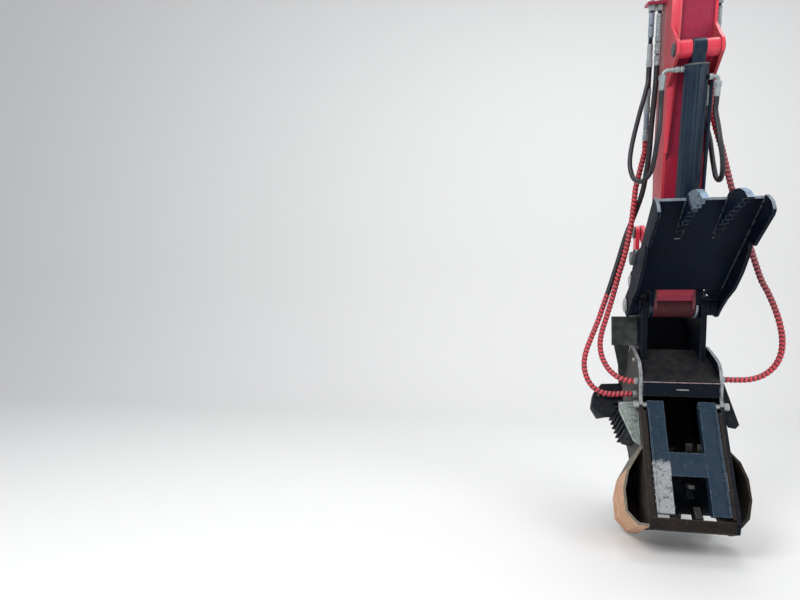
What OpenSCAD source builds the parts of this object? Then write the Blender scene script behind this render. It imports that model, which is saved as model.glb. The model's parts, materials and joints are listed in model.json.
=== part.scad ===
// Excavator stick with a hydraulic thumb and a forestry mulcher head.
// Millimetres, Z up, X to the operator's right, Y away from the operator, origin on the boom pivot's axis.

/* [Stick] */
// From the boom pivot to the nose pin
stick_len = 1800; // [1700:10:2000]
// How far the stick leans, its nose away from the operator
stick_lean = 15; // [10:1:20]
// Width over the side plates
stick_w = 190; // [186:1:200]
// Thickness of each side plate
stick_side_t = 12; // [10:1:16]
// Thickness of the belly and front plates
stick_skin_t = 10; // [8:1:14]
// From the pin line to the belly edge of the side plates
belly_y = 66; // [62:1:72]
// From the pin line to the front edge of the side plates at mid length
front_y = 146; // [140:1:156]
// How far the belly and front plates lie inside the side plates' edges
plate_recess = 9; // [6:1:14]
// Outer radius of the nose boss
nose_boss_r = 60; // [54:1:62]
// Radius of the nose pin
nose_pin_r = 25; // [22:1:30]
// Outer radius of the boss at the lever pivot
lever_boss_r = 58; // [54:1:60]
// Outer radius of the boss at the boom pivot
pivot_boss_r = 78; // [70:1:90]
// Radius of the bore at the boom pivot
pivot_bore_r = 30; // [25:1:35]
// From the boom pivot up to the arm cylinder's pin
tail_len = 380; // [340:10:440]
// How far that pin lies in front of the pin line
tail_y = 70; // [50:5:90]
// Outer radius of the boss at the arm cylinder's pin
tail_boss_r = 62; // [56:1:70]
// Radius of the bore for the arm cylinder's pin
tail_bore_r = 25; // [20:1:30]
// Gap between the ears that take the arm cylinder's eye
tail_gap = 84; // [70:2:100]

/* [Bucket linkage] */
// From the nose pin to the link pin, along the head's ears
ear_len = 264; // [254:2:280]
// From the nose pin up to the lever pivot
lever_pivot_z = 270; // [262:2:290]
// From the pin line forward to the lever pivot
lever_pivot_y = 10; // [0:2:20]
// Thickness of each lever
lever_t = 20; // [16:1:22]
// Half the width of a lever
lever_half = 38; // [32:1:42]
// Radius of the linkage's pins
link_pin_r = 22; // [18:1:25]
// Thickness of the link's plates
link_t = 20; // [16:1:22]
// Half the width of the link's plates
link_half = 32; // [28:1:35]
// Outer radius of the link's boss at the head
link_boss_r = 42; // [38:1:46]

/* [Cylinders] */
// Outer radius of the bucket cylinder's barrel
bucket_barrel_r = 46; // [42:1:50]
// Radius of the bucket cylinder's rod
bucket_rod_r = 25; // [20:1:28]
// Height of the bucket cylinder's base pin above the nose pin
bucket_base_z = 1480; // [1440:10:1540]
// How far the bucket cylinder's base pin lies in front of the pin line
bucket_base_y = 222; // [216:2:240]
// Outer radius of the thumb cylinder's barrel
thumb_barrel_r = 50; // [46:1:52]
// Radius of the thumb cylinder's rod
thumb_rod_r = 25; // [20:1:28]
// Height of the thumb cylinder's base pin above the nose pin
thumb_base_z = 1197; // [1180:1:1220]
// How far the thumb cylinder's base pin stands off the pin line, on the belly side
thumb_base_y = 156; // [152:1:162]
// Radius of the thumb cylinder's pins
thumb_pin_r = 20; // [16:1:22]
// Outer radius of the red boss on the thumb bracket
thumb_boss_r = 38; // [34:1:42]
// Width of the cylinders' eyes
eye_w = 54; // [46:1:60]

/* [Thumb] */
// Angle between the thumb's plate and level ground as parked
thumb_rise = 34.5; // [33:0.5:38]
// From the nose pin to the plate's end edge
thumb_len = 763; // [720:5:800]
// Half the width of the plate
thumb_half = 216; // [208:1:224]
// From the nose pin to the plate's near end
thumb_root = 136; // [134:1:150]
// Thickness of the plate
thumb_plate_t = 16; // [12:1:20]
// Thickness of the side walls
thumb_wall_t = 14; // [10:1:18]
// Height of the side walls over the plate
thumb_wall_h = 86; // [76:1:90]
// Thickness of the two inner tines
tine_t = 25; // [20:1:30]
// From the middle to each inner tine
tine_x = 77; // [70:1:84]
// How far a tine's tip reaches past the plate's edge
tine_reach = 161; // [140:1:170]
// How far a tine's tip stands over the plate
tine_rise = 143; // [130:1:150]
// Thickness of the ears at the nose pin
thumb_ear_t = 25; // [20:1:26]
// Outer radius of those ears
thumb_ear_r = 58; // [52:1:60]
// From the nose pin along the plate to the rod's pin
thumb_lug_u = 300; // [290:2:312]
// How far the rod's pin lies behind the plate
thumb_lug_v = 70; // [66:1:76]

/* [Head] */
// How far the head is swung out from level
head_swing = 26; // [24:1:28]
// Drop from the nose pin to the deck
deck_drop = 236; // [230:1:242]
// From the nose pin back to the deck's rear edge
deck_rear = 329; // [320:1:336]
// Thickness of the deck and the hood's plates
hood_t = 12; // [8:1:14]
// Half the width between the side plates
head_half = 172; // [168:1:176]
// Thickness of the side plates
head_side_t = 16; // [12:1:20]
// Thickness of the ears that carry the head
head_ear_t = 28; // [24:1:30]
// Gap between the two ears
head_ear_gap = 248; // [246:1:252]
// Outer radius of the ears at the nose pin
head_ear_r = 70; // [62:1:72]
// Outer radius of the ears at the link pin
link_ear_r = 58; // [52:1:60]

/* [Gate] */
// Slope of the gate below level, in the head's own frame
gate_slope = 38; // [36:0.5:40]
// Length of the gate's rails
gate_len = 500; // [490:2:510]
// Width over the two rails
gate_w = 306; // [296:2:312]
// Width of each rail
rail_w = 75; // [66:1:80]
// Depth of each rail
rail_d = 44; // [40:1:48]
// Height of the window above the crossbar
window_h = 227; // [215:1:240]
// Height of the crossbar
crossbar_h = 106; // [90:2:116]
// Radius of the gate's hinge pins
gate_pin_r = 13; // [10:1:16]

/* [Drum] */
// From the gate's hinge down the slope to the drum's axis
drum_w = 325; // [318:1:330]
// From the gate's hinge inward to the drum's axis
drum_n = 252; // [248:1:258]
// Radius of the drum's tube
drum_r = 138; // [130:1:144]
// Radius at the tips of the teeth
drum_tip_r = 205; // [198:1:208]
// Radius of the drum's shaft
drum_shaft_r = 32; // [28:1:36]
// Number of rings of teeth along the drum
tooth_rings = 8; // [6:1:9]
// Number of teeth on each ring
ring_teeth = 3; // [2:1:4]
// Turn of the tooth pattern from one ring to the next
tooth_twist = 45; // [30:5:60]

/* [Hoses] */
// Diameter of the head's three hoses over their guards
work_hose_d = 30; // [26:1:32]
// Diameter of the thumb's hoses
thumb_hose_d = 22; // [20:1:24]

/* [Hidden] */
$fn = 64;

// Running gap between pieces that move, and seating gap between pieces that don't
side_gap = 3;
seat = 0.3;
run = 0.05;

red = [0.78, 0.07, 0.08];
black = [0.09, 0.10, 0.11];
steel = [0.62, 0.63, 0.64];
rust = [0.36, 0.25, 0.18];
hose_red = [0.75, 0.12, 0.13];

nose = [0, stick_len * sin(stick_lean), -stick_len * cos(stick_lean)];
stick_half = stick_w / 2;

// Points of a side view are [y, z], and a turn is counter-clockwise seen from +X
function turned(p, a) = [p.x * cos(a) - p.y * sin(a), p.x * sin(a) + p.y * cos(a)];
function polar(r, a) = [r * cos(a), r * sin(a)];

// Frames: the stick's, the head's and the thumb's turn about the nose pin, the gate's about its hinge
thumb_angle = 180 - thumb_rise;
head_link_angle = 3.5;
gate_origin = [-deck_rear - 37, -deck_drop - 119];
gate_turn = gate_slope - 90;
module on_stick() { translate(nose) rotate([stick_lean, 0, 0]) children(); }
module on_head() { translate(nose) rotate([head_swing, 0, 0]) children(); }
module on_thumb() { translate(nose) rotate([thumb_angle, 0, 0]) children(); }
module on_gate() { on_head() translate([0, gate_origin.x, gate_origin.y]) rotate([gate_turn, 0, 0]) children(); }
// A point n inward from the gate's hinge and w down the slope, in the head's frame
function from_gate(n, w) = gate_origin + turned([n, -w], gate_turn);

// Places in the stick's frame
boom_pivot = [0, stick_len];
tail_pin = [tail_y, stick_len + tail_len];
lever_pivot = [lever_pivot_y, lever_pivot_z];
link_at_head = polar(ear_len, head_link_angle + head_swing - stick_lean);
lever_end = lever_pivot + link_at_head;
bucket_base = [bucket_base_y, bucket_base_z];
thumb_base = [-thumb_base_y, thumb_base_z];
thumb_lug = turned([thumb_lug_u, -thumb_lug_v], thumb_angle - stick_lean);

// Stacks along X, from the middle out
thumb_ear_x = stick_half + 1;
head_ear_x = head_ear_gap / 2;
head_ear_out = head_ear_x + head_ear_t;
lever_x = stick_half + side_gap;
link_x = head_ear_x;
link_root_x = head_ear_x - link_t - 6;
wall_x = thumb_half - thumb_wall_t;
head_out = head_half + head_side_t;

// A plate whose side view is given, from x0 to x0 + t, and the same on both sides
module plate(x0, t) { translate([x0, 0, 0]) rotate([90, 0, 90]) linear_extrude(t) children(); }
module both_plates(x0, t) {
    plate(x0, t) children();
    plate(-x0 - t, t) children();
}
// A round bar along X at a point of the side view, and the same on both sides
module bar(r, x0, x1, p = [0, 0]) { translate([x0, p.x, p.y]) rotate([0, 90, 0]) cylinder(r = r, h = x1 - x0); }
module both_bars(r, x0, x1, p = [0, 0]) {
    bar(r, x0, x1, p);
    bar(r, -x1, -x0, p);
}
// A hole right through at a point of the side view
module hole(r, p = [0, 0]) { bar(r, -400, 400, p); }
// A hexagon along X
module hex_bar(r, x0, x1, p) { translate([x0, p.x, p.y]) rotate([0, 90, 0]) cylinder(r = r, h = x1 - x0, $fn = 6); }
// A bar of the side view from a to b, with round ends
module slot2d(a, b, ra, rb) {
    hull() {
        translate(a) circle(ra, $fn = 48);
        translate(b) circle(rb, $fn = 48);
    }
}
// A strip of the side view from a to b, its thickness on the left of that line
module strip2d(a, b, t) {
    d = (b - a) / norm(b - a);
    n = [-d.y, d.x] * t;
    polygon([a, b, b + n, a + n]);
}

// Stick
front_break = 730;
module stick_outline() {
    polygon([
        [-belly_y, 0], [-belly_y, stick_len - 130], [-pivot_boss_r, stick_len], [-pivot_boss_r, stick_len + 20],
        [tail_pin.x - tail_boss_r, tail_pin.y], [tail_pin.x + tail_boss_r, tail_pin.y],
        [front_y, stick_len + 60], [front_y, front_break], [lever_pivot_y + 74, lever_pivot_z], [nose_boss_r, 0]
    ]);
    translate(tail_pin) circle(tail_boss_r);
    circle(nose_boss_r);
}
// The box between the side plates, down to the nose boss
module stick_core_outline() {
    polygon([
        [plate_recess - belly_y, 40], [plate_recess - belly_y, stick_len - 60], [20 - pivot_boss_r, stick_len + 20],
        [tail_pin.x - tail_boss_r + 15, tail_pin.y - 130], [tail_pin.x + tail_boss_r - 20, tail_pin.y - 130],
        [front_y - plate_recess, stick_len + 50], [front_y - plate_recess, front_break + 2],
        [lever_pivot_y + 74 - plate_recess, lever_pivot_z], [nose_boss_r - plate_recess, 40]
    ]);
}
module thumb_bracket_outline() {
    polygon([
        [2 - belly_y, thumb_base_z + 130], [-belly_y, thumb_base_z + 112],
        [thumb_base.x - thumb_boss_r + 4, thumb_base_z + 30], [thumb_base.x - 24, thumb_base_z - 42],
        [-belly_y, thumb_base_z - 150], [2 - belly_y, thumb_base_z - 172]
    ]);
    translate(thumb_base) circle(thumb_boss_r + 10);
}
bracket_foot = front_y - plate_recess + seat;
module bucket_bracket_outline() {
    polygon([
        [bracket_foot, bucket_base_z + 120], [bucket_base.x, bucket_base_z + 46],
        [bucket_base.x, bucket_base_z - 46], [bucket_base.x - 38, bucket_base_z - 50], [bracket_foot, bucket_base_z - 150]
    ]);
    translate(bucket_base) circle(46);
}
bucket_ear_x = eye_w / 2 + side_gap;
bucket_ear_t = 22;
stick_in = stick_half - stick_side_t - seat;
module stick_holes() {
    hole(nose_pin_r + run);
    hole(pivot_bore_r, boom_pivot);
    hole(link_pin_r + run, lever_pivot);
    hole(tail_bore_r, tail_pin);
    hole(thumb_pin_r + run, thumb_base);
    hole(link_pin_r + run, bucket_base);
}
module stick_cavity_outline() {
    difference() {
        offset(delta = -stick_skin_t) stick_core_outline();
        circle(nose_boss_r);
        translate(lever_pivot) circle(lever_boss_r);
        translate(boom_pivot) circle(pivot_boss_r);
    }
}
module stick() {
    color(red) on_stick() difference() {
        union() {
            plate(-stick_in, 2 * stick_in) stick_core_outline();
            bar(nose_boss_r, -stick_in, stick_in);
            bar(pivot_boss_r, -stick_in, stick_in, boom_pivot);
        }
        plate(-stick_half, 2 * stick_half) stick_cavity_outline();
        stick_holes();
    }
}
module stick_sides() {
    color(red) on_stick() difference() {
        both_plates(stick_half - stick_side_t, stick_side_t) {
            stick_outline();
            thumb_bracket_outline();
        }
        stick_holes();
    }
}
module bucket_bracket() {
    color(red) on_stick() difference() {
        both_plates(bucket_ear_x, bucket_ear_t) bucket_bracket_outline();
        stick_holes();
    }
}
module tail_bosses() {
    color(red) on_stick() difference() {
        both_bars(tail_boss_r, tail_gap / 2, stick_in, tail_pin);
        stick_holes();
    }
}
module thumb_bracket_bosses() {
    color(red) on_stick() difference() {
        both_bars(thumb_boss_r, eye_w / 2 + 1, stick_in, thumb_base);
        stick_holes();
    }
}
nose_reach = thumb_half + 16;
module nose_pin() {
    color(steel) on_stick() {
        bar(nose_pin_r, -nose_reach, nose_reach);
        both_bars(nose_pin_r + 12, thumb_half + 2, nose_reach - 4);
    }
}
module lever_pivot_pin() {
    reach = lever_x + lever_t;
    color(steel) on_stick() {
        bar(link_pin_r, -reach - 2, reach + 2, lever_pivot);
        both_bars(link_pin_r + 10, reach + 2, reach + 10, lever_pivot);
    }
}
module bucket_base_pin() {
    reach = bucket_ear_x + bucket_ear_t;
    color(steel) on_stick() {
        bar(link_pin_r, -reach - 3, reach + 3, bucket_base);
        both_bars(link_pin_r + 10, reach + 2, reach + 10, bucket_base);
    }
}
module thumb_base_pin() {
    color(steel) on_stick() {
        bar(thumb_pin_r, -stick_half - 3, stick_half + 3, thumb_base);
        both_bars(thumb_pin_r + 8, stick_half + seat, stick_half + 8, thumb_base);
    }
}

// Lines on the stick's two sides, as [x, y]: the left ones feed the thumb, the outer and the inner head hose
left_cols = [[-154, 60], [-120, 60], [-146, 102]];
left_foot = [1155, 1159, 817];
right_col = [122, 20];
right_foot = 1282;
bulkhead_z = 1424;
bulkhead_t = 12;
fitting_r = 13;
nut_r = 16;
nut_len = 26;
tube_r = 8;
tube_len = 276;
module line_fitting(c, foot) {
    translate([c.x, c.y, bulkhead_z - nut_len]) cylinder(r = nut_r, h = nut_len - seat, $fn = 6);
    translate([c.x, c.y, foot]) cylinder(r = fitting_r, h = bulkhead_z - nut_len - foot);
}
module line_tube(c) { translate([c.x, c.y, bulkhead_z]) cylinder(r = tube_r, h = tube_len); }
module line_holes(cols) {
    for (c = cols) translate([c.x, c.y, bulkhead_z - 1]) cylinder(r = tube_r + run, h = bulkhead_t + 2);
}
module left_bulkhead() {
    color(red) on_stick() difference() {
        translate([-176, 36, bulkhead_z]) cube([176 - stick_half - seat, 92, bulkhead_t]);
        line_holes(left_cols);
    }
}
module left_line_fittings() { color(steel) on_stick() for (i = [0 : 2]) line_fitting(left_cols[i], left_foot[i]); }
module left_line_tubes() { color(steel) on_stick() for (c = left_cols) line_tube(c); }
module right_bulkhead() {
    color(red) on_stick() difference() {
        translate([stick_half + seat, -6, bulkhead_z]) cube([50, 52, bulkhead_t]);
        line_holes([right_col]);
    }
}
module right_line_fittings() {
    color(steel) on_stick() {
        line_fitting(right_col, right_foot);
        line_tube(right_col);
    }
}
belly_port = [72, -84];
belly_port_z = [960, 1008, 1044];
module belly_fitting() {
    color(steel) on_stick() {
        translate([belly_port.x - 14, belly_port.y - 14, belly_port_z[1]])
            cube([24, plate_recess - belly_y - belly_port.y + 14 - seat, belly_port_z[2] - belly_port_z[1]]);
        translate([belly_port.x - 2, belly_port.y - 2, belly_port_z[0]]) cylinder(r = 12, h = belly_port_z[1] - belly_port_z[0] + 1);
    }
}

// Bucket linkage
module levers() {
    color(black) on_stick() difference() {
        both_plates(lever_x, lever_t) slot2d(lever_pivot, lever_end, lever_half + 6, lever_half);
        hole(link_pin_r + run, lever_pivot);
        hole(link_pin_r + run, lever_end);
    }
}
module lever_link_pins() {
    reach = link_x + link_t;
    color(steel) on_stick() {
        both_bars(link_pin_r, lever_x, reach + 3, lever_end);
        both_bars(link_pin_r + 10, reach + 2, reach + 10, lever_end);
    }
}
module link() {
    dir = (lever_end - link_at_head) / norm(lever_end - link_at_head);
    step = link_at_head + dir * 112;
    color(black) on_stick() difference() {
        union() {
            both_plates(link_root_x, link_t) slot2d(link_at_head, step, link_boss_r, link_half);
            both_plates(link_x, link_t) slot2d(step, lever_end, link_half, lever_half - 4);
            both_bars(link_half, link_root_x, link_x + link_t, step);
            bar(link_boss_r, side_gap - head_ear_x, head_ear_x - side_gap, link_at_head);
            bar(24, -link_root_x - 1, link_root_x + 1, step);
        }
        hole(link_pin_r + run, link_at_head);
        hole(link_pin_r + run, lever_end);
    }
}

// A cylinder along the line from its base pin a to its rod's pin b
module on_line(a, b) { translate([0, a.x, a.y]) rotate([atan2(b.y - a.y, b.x - a.x), 0, 0]) children(); }
module along_y(y0) { rotate([-90, 0, 0]) translate([0, 0, y0]) children(); }
barrel_start = 62;
module barrel(r, rod_r, eye_r, pin_r, length) {
    difference() {
        union() {
            bar(eye_r, -eye_w / 2, eye_w / 2);
            translate([-eye_w / 2, 0, -eye_r * 0.8]) cube([eye_w, barrel_start + 6, eye_r * 1.6]);
            along_y(barrel_start) cylinder(r = r, h = length - barrel_start);
            along_y(length - 64) cylinder(r = r + 4, h = 64);
        }
        hole(pin_r + run);
        along_y(90) cylinder(r = rod_r + run, h = length);
    }
}
module rod(rod_r, eye_r, span, tail, hub_r, hub_half) {
    along_y(tail) cylinder(r = rod_r, h = span - tail);
    translate([0, span, 0]) {
        bar(eye_r, -eye_w / 2, eye_w / 2);
        bar(hub_r, -hub_half, hub_half);
    }
}
bucket_span = norm(lever_end - bucket_base);
thumb_span = norm(thumb_lug - thumb_base);
bucket_barrel_len = 870;
thumb_barrel_len = 800;
module bucket_barrel() {
    color(black) on_stick() on_line(bucket_base, lever_end) barrel(bucket_barrel_r, bucket_rod_r, 44, link_pin_r, bucket_barrel_len);
}
module bucket_rod() {
    color(steel) on_stick() on_line(bucket_base, lever_end) rod(bucket_rod_r, 42, bucket_span, 640, link_pin_r, lever_x - 4);
}
module thumb_barrel() {
    color(black) on_stick() on_line(thumb_base, thumb_lug) barrel(thumb_barrel_r, thumb_rod_r, 42, thumb_pin_r, thumb_barrel_len);
}
module thumb_rod() {
    color(steel) on_stick() on_line(thumb_base, thumb_lug) rod(thumb_rod_r, 38, thumb_span, 560, thumb_pin_r, eye_w / 2 + 4);
}
module thumb_oil_tube() {
    color(steel) on_stick() on_line(thumb_base, thumb_lug) translate([thumb_barrel_r + 17, 0, 0]) {
        along_y(110) cylinder(r = tube_r, h = 660);
        for (y = [112, 700]) translate([seat - 17, y, -9]) cube([17, 18, 18]);
    }
}
// A bent fitting beside the thumb's barrel: it leaves the barrel at y and turns down the line, z off it
elbow_r = 10;
elbow_nut = [20, 22];
elbow_ferrule = 40;
elbow_len = elbow_nut[0] + elbow_nut[1] + elbow_ferrule;
module elbow(x, y, z, root) {
    side = x < 0 ? -1 : 1;
    translate([min(x, side * root), y, z]) rotate([0, 90, 0]) cylinder(r = elbow_r - 1, h = abs(x) - root);
    translate([x, y, z]) {
        sphere(r = elbow_r, $fn = 32);
        along_y(0) cylinder(r = elbow_r, h = elbow_nut[0] + 1);
        along_y(elbow_nut[0]) cylinder(r = nut_r, h = elbow_nut[1], $fn = 6);
        along_y(elbow_nut[0] + elbow_nut[1] - 1) cylinder(r = fitting_r, h = elbow_ferrule + 1);
    }
}
left_elbow = [-thumb_barrel_r - 87, 82, 0];
right_elbow = [thumb_barrel_r + 32, 122, -34];
module thumb_left_elbow() {
    color(steel) on_stick() on_line(thumb_base, thumb_lug) elbow(left_elbow.x, left_elbow.y, left_elbow.z, thumb_barrel_r + seat);
}
module thumb_right_fitting() {
    root = sqrt(thumb_barrel_r * thumb_barrel_r - right_elbow.z * right_elbow.z) + 9;
    color(steel) on_stick() on_line(thumb_base, thumb_lug) elbow(right_elbow.x, right_elbow.y, right_elbow.z, root);
}

// Thumb, in a frame whose Y runs up the plate and whose Z is the gripping side
module thumb_plate() {
    color(black) on_thumb() translate([0, 0, -thumb_plate_t]) linear_extrude(thumb_plate_t) polygon([
        [-wall_x + seat, thumb_root], [wall_x - seat, thumb_root],
        [wall_x - seat, thumb_len], [seat - wall_x, thumb_len]
    ]);
}
lug_point = [thumb_lug_u, -thumb_lug_v];
module thumb_wall_outline() {
    polygon([
        [20, -54], [thumb_root, -34], [thumb_lug_u - 60, -60], [thumb_lug_u + 60, -60], [thumb_lug_u + 150, -thumb_plate_t],
        [thumb_len + 6, -thumb_plate_t], [thumb_len + 24, 14], [thumb_len + 36, 50], [thumb_len + 31, thumb_wall_h + 2],
        [thumb_len + 6, thumb_wall_h + 10], [613, thumb_wall_h - 4], [560, thumb_wall_h - 8], [537, 40],
        [500, 62], [470, 70], [380, 86], [260, 88], [150, 66], [20, 54]
    ]);
    circle(58);
    translate(lug_point) circle(44);
}
module thumb_walls() {
    color(black) on_thumb() difference() {
        both_plates(wall_x, thumb_wall_t) thumb_wall_outline();
        hole(thumb_pin_r + run, lug_point);
        hole(nose_pin_r + run);
    }
}
// The tine's gripping edge rises from the plate to the hooked tip, in steps
tine_root = 533;
tine_steps = 9;
tine_tip = [thumb_len + tine_reach, tine_rise];
function tine_edge(t) = [tine_root + (tine_tip.x - tine_root) * t, tine_tip.y * pow(t, 1.35)];
module tine_outline() {
    edge = [for (i = [0 : tine_steps - 1]) for (k = [0.05, 0.8])
        let (q = tine_edge((i + k) / tine_steps)) [q.x, max(2, q.y + (k > 0.5 ? 5 : -9))]];
    polygon(concat([[tine_root - 12, seat]], edge, [
        tine_tip, tine_tip + [-12, -44], tine_tip + [-42, -88], tine_tip + [-84, -124], [thumb_len + 18, -thumb_plate_t],
        [thumb_len + seat, -thumb_plate_t], [thumb_len + seat, seat]
    ]));
}
module thumb_tines() { color(black) on_thumb() both_plates(tine_x - tine_t / 2, tine_t) tine_outline(); }
module thumb_ear_outline() {
    circle(thumb_ear_r);
    polygon([
        [0, thumb_ear_r], [0, -thumb_ear_r], [150, -62], [500, -thumb_plate_t - 22], [500, -thumb_plate_t - seat],
        [thumb_root - 2, -thumb_plate_t - seat], [thumb_root - 2, 10], [60, 30]
    ]);
}
lug_half = 38;
module thumb_ears() {
    color(black) on_thumb() difference() {
        union() {
            both_plates(thumb_ear_x, thumb_ear_t) thumb_ear_outline();
            both_plates(lug_half, 20) polygon([
                [thumb_lug_u - 60, -thumb_plate_t - seat], lug_point + [-34, -14], lug_point + [-14, -34],
                lug_point + [14, -34], lug_point + [34, -14], [thumb_lug_u + 60, -thumb_plate_t - seat]
            ]);
        }
        hole(nose_pin_r + run);
        hole(thumb_pin_r + run, lug_point);
    }
}
module thumb_rod_pins() {
    color(steel) on_thumb() {
        both_bars(thumb_pin_r, lug_half - 2, thumb_half + 19, lug_point);
        both_bars(32, thumb_half + seat, thumb_half + 17, lug_point);
    }
}

// Head, in a frame whose Y is level with the deck
deck_z = -deck_drop;
deck_front = -38;
link_eye = polar(ear_len, head_link_angle);
hood_corner = [15, -370];
hood_low = [85, -600];
drum_axis = from_gate(drum_n, drum_w);
module head_side_outline() {
    polygon([
        [-45, deck_z + 24], [-120, deck_z + 40], [-195, deck_z + 50], [-255, deck_z + 54], [-298, deck_z + 28],
        [1 - deck_rear, deck_z - 10], [-deck_rear - 21, deck_z - 79], from_gate(-16, 4), from_gate(-16, gate_len + 25),
        from_gate(20, gate_len + 66), from_gate(140, gate_len + 60), from_gate(262, gate_len + 5), from_gate(330, 415),
        from_gate(352, 300), from_gate(400, 150), from_gate(492, 20), from_gate(510, -90), hood_low, hood_corner
    ]);
}
module head_side(x0) {
    difference() {
        plate(x0, head_side_t) head_side_outline();
        hole(drum_shaft_r + 4, drum_axis);
        hole(gate_pin_r + run, gate_origin);
    }
}
module head_side_left() { color(rust) on_head() head_side(-head_out); }
module head_side_right() { color(black) on_head() head_side(head_half); }
// The ring just inside the side plates' outline that the hood's bent plates lie in
module hood_ring() {
    difference() {
        offset(delta = -3) head_side_outline();
        offset(delta = -3 - hood_t) head_side_outline();
    }
}
module between_sides() { plate(seat - head_half, 2 * (head_half - seat)) children(); }
module head_deck() {
    color(black) on_head() between_sides() {
        translate([-deck_rear, deck_z - seat - hood_t]) square([deck_rear + deck_front, hood_t]);
        strip2d([-deck_rear, deck_z - seat - hood_t + 0.5], [-deck_rear - 31, deck_z - 72], hood_t);
    }
}
module head_front_wall() {
    color(black) on_head() between_sides() intersection() {
        hood_ring();
        polygon([
            [-80, deck_z - 2 * seat - hood_t], [250, deck_z - 2 * seat - hood_t], [250, -760], from_gate(440, 150),
            from_gate(360, 130), [-20, -560], [-80, -400]
        ]);
    }
}
module head_lip() {
    color(rust) on_head() between_sides() intersection() {
        hood_ring();
        polygon([from_gate(-60, gate_len + 18), from_gate(-60, gate_len + 120), from_gate(180, gate_len + 120), from_gate(180, gate_len + 18)]);
    }
}
module edge_bars() {
    color(rust) on_gate() for (side = [-1, 1])
        translate([side > 0 ? head_half - 14 - seat : seat - head_half, -16, -gate_len - 8]) cube([14, 15, gate_len - 24]);
}
// The rotor's guard on the left: half an octagon, open toward the operator
guard_depth = 340;
guard_x = head_out + seat;
module rotor_guard() {
    color(rust) on_head_guard() difference() {
        polygon([[-guard_x, 200], [-guard_x - 14, 205], [-268, 312], [-291, 400], [-288, 500], [-240, 556], [-guard_x, 560]]);
        polygon([[1 - guard_x, 214], [-guard_x - 8, 220], [-257, 317], [-279, 402], [-276, 495], [-234, 544], [1 - guard_x, 548]]);
    }
}
module on_head_guard() { on_gate() translate([0, -10, 0]) rotate([-90, 0, 0]) linear_extrude(guard_depth) children(); }
module bearing_guard() {
    color(black) on_head_guard() difference() {
        polygon([[guard_x, 210], [226, 256], [248, 330], [248, 420], [226, 500], [guard_x, 540]]);
        polygon([[guard_x - 1, 226], [216, 262], [237, 333], [237, 417], [216, 492], [guard_x - 1, 526]]);
    }
}
// The belt's cover above the guard, with cooling ribs
module belt_cover() {
    color(black) on_gate() {
        translate([0, 42, 0]) rotate([-90, 0, 0]) linear_extrude(250)
            polygon([[-guard_x, -28], [-276, -28], [-270, 20], [-236, 130], [-guard_x, 140]]);
        for (i = [0 : 6]) translate([0, 40, 0]) rotate([-90, 0, 0]) linear_extrude(256) {
            w = -24 + i * 23;
            polygon([[-guard_x - 20, w], [-296 + i * 6.5, w], [-296 + i * 6.5, w + 8], [-guard_x - 20, w + 8]]);
        }
        bar(48, -345, -290, [150, 20]);
    }
}
module guard_wings() {
    color([0.45, 0.46, 0.44]) on_gate() translate([0, 26, 0]) rotate([-90, 0, 0]) linear_extrude(10) {
        polygon([[-guard_x, -24], [-276, -15], [-277, 25], [-222, 170], [-guard_x, 196]]);
        polygon([[guard_x, -150], [218, -125], [238, -20], [256, 76], [238, 94], [206, 88], [guard_x, 10]]);
    }
}
flange_t = 10;
module left_flange() {
    top = [30, -80];
    bend = [-45, deck_z + 24];
    fall = norm(hood_low - bend);
    color([0.45, 0.46, 0.44]) on_head() {
        plate(-280, 280 - head_ear_out - seat) strip2d(top, bend, flange_t);
        translate([0, bend.x, bend.y]) rotate([atan2(hood_low.y - bend.y, hood_low.x - bend.x), 0, 0])
            linear_extrude(flange_t) polygon([[-guard_x, 0], [-270, 0], [-230, 170], [-200, fall], [-guard_x, fall]]);
    }
}
module drum_motor() {
    color(black) on_head() {
        bar(62, -guard_x - 22, -guard_x, drum_axis);
        bar(38, -guard_x - 46, -guard_x - 22, drum_axis);
    }
}
module drum_bearing() {
    color(black) on_head() difference() {
        union() {
            bar(60, guard_x, guard_x + 24, drum_axis);
            bar(36, guard_x + 24, guard_x + 34, drum_axis);
        }
        bar(drum_shaft_r + run, guard_x - 10, guard_x + 22, drum_axis);
    }
}
left_ports = [[-295, -343], [-296, -265]];
right_port = [-276, -259];
port_len = 18;
module head_ports() {
    color(steel) on_head() {
        for (p = left_ports) {
            bar(fitting_r, -guard_x - port_len, -guard_x - 13, p);
            hex_bar(18, -guard_x - 14, -guard_x, p);
        }
        bar(fitting_r, guard_x + 13, guard_x + port_len, right_port);
        hex_bar(18, guard_x, guard_x + 14, right_port);
    }
}
module head_ear_outline() {
    slot2d([0, 0], link_eye, head_ear_r, link_ear_r);
    polygon([
        [-head_ear_r, 0], [-150, deck_z], [deck_front, deck_z], [hood_corner.x + 1, hood_corner.y], [hood_corner.x + 24, hood_corner.y - 70],
        [link_eye.x - 20, -150], [link_eye.x + link_ear_r, link_eye.y]
    ]);
}
module head_ears() {
    color(black) on_head() difference() {
        both_plates(head_ear_x, head_ear_t) head_ear_outline();
        hole(nose_pin_r + run);
        hole(link_pin_r + run, link_eye);
    }
}
module head_cross_plate() {
    color(black) on_head() plate(seat - head_ear_x, 2 * (head_ear_x - seat)) strip2d([45, -425], [215, -175], hood_t);
}
module link_pin() {
    color(steel) on_head() {
        bar(link_pin_r, -head_ear_out - 3, head_ear_out + 3, link_eye);
        both_bars(link_pin_r + 12, head_ear_out + 2, head_ear_out + 12, link_eye);
    }
}

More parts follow.
